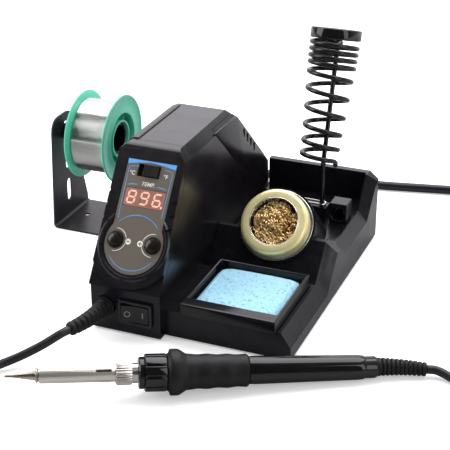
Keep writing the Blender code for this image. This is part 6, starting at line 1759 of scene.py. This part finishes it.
@dataclass(frozen=True)
class SolderHolder:
    """The bent bracket, the spindle and the green spool with its wound solder."""

    width: float = 28.3
    flange: float = 29.4
    cheek: float = 1.7
    drum: float = 19.0
    layer: float = 24.2
    turns: int = 40

    def spool(self) -> None:
        """The reel, its hub and the four webs between them."""
        w, f, d, thick = self.width, self.flange, self.drum, self.cheek
        reel = [(d - 1.6, 0), (f - 0.6, 0), *bow(f - 0.6, 0.6, 0.6, -60, 60, 4), (f - 0.7, 1.35),
                (f - 1.6, thick), (d, thick), (d, w - thick), (f - 1.6, w - thick), (f - 0.7, w - 1.35),
                *bow(f - 0.6, w - 0.6, 0.6, -60, 60, 4), (f - 0.6, w), (f - 1.4, w), (f - 1.8, w - 0.25),
                (d + 0.6, w - 0.25), (d, w), (d - 1.6, w)]
        fit(spun("reel", reel, SPOOL, 112, ring=True), GREEN, Body.REEL, Slot.SPOOL_GREEN, "spool")
        hub = [(11.2, 1.2), (12.4, 1.2), (12.4, w - 1.2), (11.2, w - 1.2)]
        fit(spun("hub", hub, SPOOL, 64, ring=True), GREEN, Body.REEL, Slot.SPOOL_GREEN)
        angle = np.pi / 4 + np.arange(4) * np.pi / 2
        reach, side = np.array([11.8, 18.2, 18.2, 11.8]), np.array([-0.75, -0.75, 0.75, 0.75])
        x = np.outer(np.cos(angle), reach) - np.outer(np.sin(angle), side)
        y = np.outer(np.sin(angle), reach) + np.outer(np.cos(angle), side)
        fit(prisms("webs", np.stack([x, y], -1), 4.0, w - 4.0, SPOOL), GREEN, Body.REEL, Slot.SPOOL_GREEN)

    def solder(self) -> None:
        """The wound solder: a tight helix of wire over the drum of its inner layers."""
        dress(SOLDER, "solder_core")
        pitch = (self.width - 2 * self.cheek - 2 * 0.3) / self.turns
        radius = 0.47 * pitch
        t = np.linspace(0, self.turns, self.turns * 72 + 1)
        first = self.cheek + 0.3 + radius
        along = first + (self.width - 2 * first) * t / self.turns
        wander = 0.05 * np.sin(2.7 * t) + 0.03 * np.sin(7.1 * t + 1)
        reach = self.layer - radius + wander
        points = np.stack([reach * np.cos(2 * np.pi * t), reach * np.sin(2 * np.pi * t), along], 1)
        wire = tube("solder_turns", SPOOL.place(points), radius * MM, 6)
        fit(wire, SOLDER, Body.REEL, Slot.SOLDER_WIRE, "solder_winding")
        drum = [(19.3, 2.0), (23.6, 2.0), (23.6, self.width - 2.0), (19.3, self.width - 2.0)]
        drum = spun("solder_drum", drum, SPOOL, 96, ring=True)
        fit(drum, SOLDER, Body.REEL, Slot.SOLDER_CORE, "solder_core")

    def build(self) -> None:
        """Builds the bracket, spindle, spool and solder."""
        sheet = copied("spool_bracket", "bracket_sheet", 0.25)
        fit(sheet, ENAMEL, Body.STATION, Slot.BLACK_ENAMEL, "spool_bracket")
        rod = [(2.7, -13.7), (6.0, -13.7), (6.0, -1.8), (13.4, -1.8), (13.4, -0.3), (10.8, -0.3),
               (10.8, 24.3), *bow(9.9, 24.4, 0.9, 0, 90, 4), (8.9, 25.3), (8.8, 5.7), (2.7, 5.7)]
        fit(spun("spindle", rod, SPOOL, 64, ring=True), STAND, Body.STATION, Slot.BLACK_PLASTIC, "spool_rod")
        dress(STEEL, "rod_bolt")
        self.spool()
        self.solder()


# ------------------------------------------------------------------ iron


@dataclass(frozen=True)
class Iron:
    """The pencil iron: tip, barrel, nut, fluted sleeve, soft grip and handle."""

    sleeve: float = 10.1
    flutes: int = 10
    flare: float = 12.4
    grip: float = 9.3
    teeth: int = 26

    def tip(self) -> None:
        """The plated cone and its shank, the heater inside, coloured dark as painted shade in the slots, and
        the slotted barrel.
        """
        cone = [(0, 0), (0.45, 0.08), (0.68, 0.4), (0.72, 3.6), (0.95, 5.0), (1.75, 10.4), (2.5, 15.2),
                (2.75, 15.9), (3.6, 16.05), (4.0, 16.3), (4.0, 16.7), (3.3, 17.5), (3.3, 40), (2.1, 40),
                (2.1, 20.7), (0, 19.7)]
        fit(spun("tip_cone", cone, IRON, 48), TIP, Body.STATION, Slot.TIP_PLATE, "iron_tip")
        barrel = copied("iron_barrel", "barrel_tube", 0.0, angle=40)
        fit(barrel, BARREL, Body.STATION, Slot.BARREL_STEEL, "iron_barrel")
        dress(SHADED_CERAMIC, "iron_heater")
        dress(STEEL, "iron_collar")

    def nut(self) -> bpy.types.Object:
        """The knurled nut: its outside rises and falls as a clipped cosine, in square-edged teeth.

        Returns:
            The new object.
        """
        line = np.array([(4.7, 58), (5.7, 58), (6.2, 58.8), (6.2, 65.7), (5.8, 66.4), (4.8, 66.4)])
        knurled = np.array([0, 1, 1, 1, 1, 0])[:, None]
        angle = np.linspace(0, 2 * np.pi, self.teeth * 8, endpoint=False)
        tooth = np.clip(1.6 * np.cos(self.teeth * angle) + 0.3, -1, 1)
        points = self.carved(line, angle, 0.16 * knurled * (tooth[None] - 1))
        return skin("nut_knurled", points, closed_rows=True, sharp=34)

    def front(self) -> bpy.types.Object:
        """The sleeve: a plain ring, then a body whose flutes are the clipped zeros of a sine.

        Returns:
            The new object.
        """
        line = np.array([(0, 69.8), (7.8, 69.8), (8.5, 70.4), (8.5, 72.5), (8.2, 72.8), (9.3, 73.0),
                         (10.0, 73.4), (self.sleeve, 74.0), (self.sleeve, 84.0), (9.8, 84.6), (0, 84.7)])
        fluted = np.array([0, 0, 0, 0, 0, 0.4, 1, 1, 1, 1, 0])[:, None]
        angle = np.linspace(0, 2 * np.pi, 200, endpoint=False)
        groove = np.clip(1.5 - 4.2 * np.abs(np.sin(self.flutes / 2 * angle)), 0, 1)
        points = self.carved(line, angle, -0.75 * fluted * groove[None])
        return skin("sleeve_fluted", points, sharp=30)

    @staticmethod
    def carved(line: Array, angle: Array, relief: Array) -> Array:
        """Rings of a turned piece of the iron whose radius is raised by a relief.

        Args:
            line: the profile's radii and heights, in millimetres.
            angle: the angle of each point of a ring.
            relief: what is added to the radius, rows x columns.

        Returns:
            rows x columns x 3 points, in metres.
        """
        radius = line[:, :1] + relief
        height = np.broadcast_to(line[:, 1:], radius.shape)
        return IRON.place(np.stack([radius * np.cos(angle), radius * np.sin(angle), height], -1))

    def body(self) -> None:
        """The soft grip with its flare and waves, and the glossy handle."""
        t = np.linspace(0, 1, 60)
        waves = self.grip * (1.02 - 0.09 * t) + 0.20 * np.cos(2 * np.pi * 3 * t)
        along = 95.9 + (127.7 - 95.9) * t
        grip = [(0, 85.0), (9.8, 85.0), *bow(self.flare - 0.7, 87.0, 0.7, -150, 0, 4), (self.flare, 88.0),
                (12.35, 90.6), (12.0, 91.6), (10.5, 93.9), (9.8, 95.0), *zip(waves.tolist(), along.tolist()),
                (8.2, 128.5), (7.4, 128.7), (0, 128.7)]
        fit(spun("grip_sleeve", grip, IRON, 72), RUBBER, Body.STATION, Slot.SOFT_RUBBER, "iron_grip")
        s = np.linspace(0.05, 0.86, 24)
        taper = 7.4 * (1.04 - 0.15 * s)
        handle = [(0, 129.0), (7.5, 129.0), *zip(taper.tolist(), (129.0 + 70.2 * s).tolist()),
                  (6.55, 191.4), (6.3, 192.0), (6.0, 192.8), (6.0, 198.0), (5.5, 199.2), (0, 199.2)]
        fit(spun("handle_barrel", handle, IRON, 72), SHINE, Body.STATION, Slot.GLOSS_BLACK, "iron_handle")

    def build(self) -> None:
        """Builds the whole iron."""
        self.tip()
        fit(self.nut(), NUT, Body.NUT, Slot.STEEL, "iron_nut")
        fit(self.front(), SHINE, Body.STATION, Slot.GLOSS_BLACK, "iron_sleeve")
        self.body()


class Assembly(Protocol):
    """Anything that main can build."""

    def build(self) -> None:
        """Builds it."""


def main() -> None:
    """Sets the studio, lays the cords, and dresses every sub-assembly."""
    logging.basicConfig(level=logging.INFO, format="%(name)s: %(message)s")
    parts: tuple[Assembly, ...] = (Studio(), Cords(), ControlUnit(), Stand(), SolderHolder(), Iron())
    for part in parts:
        log.info("building %s", type(part).__name__)
        part.build()


if __name__ == "__main__":
    main()
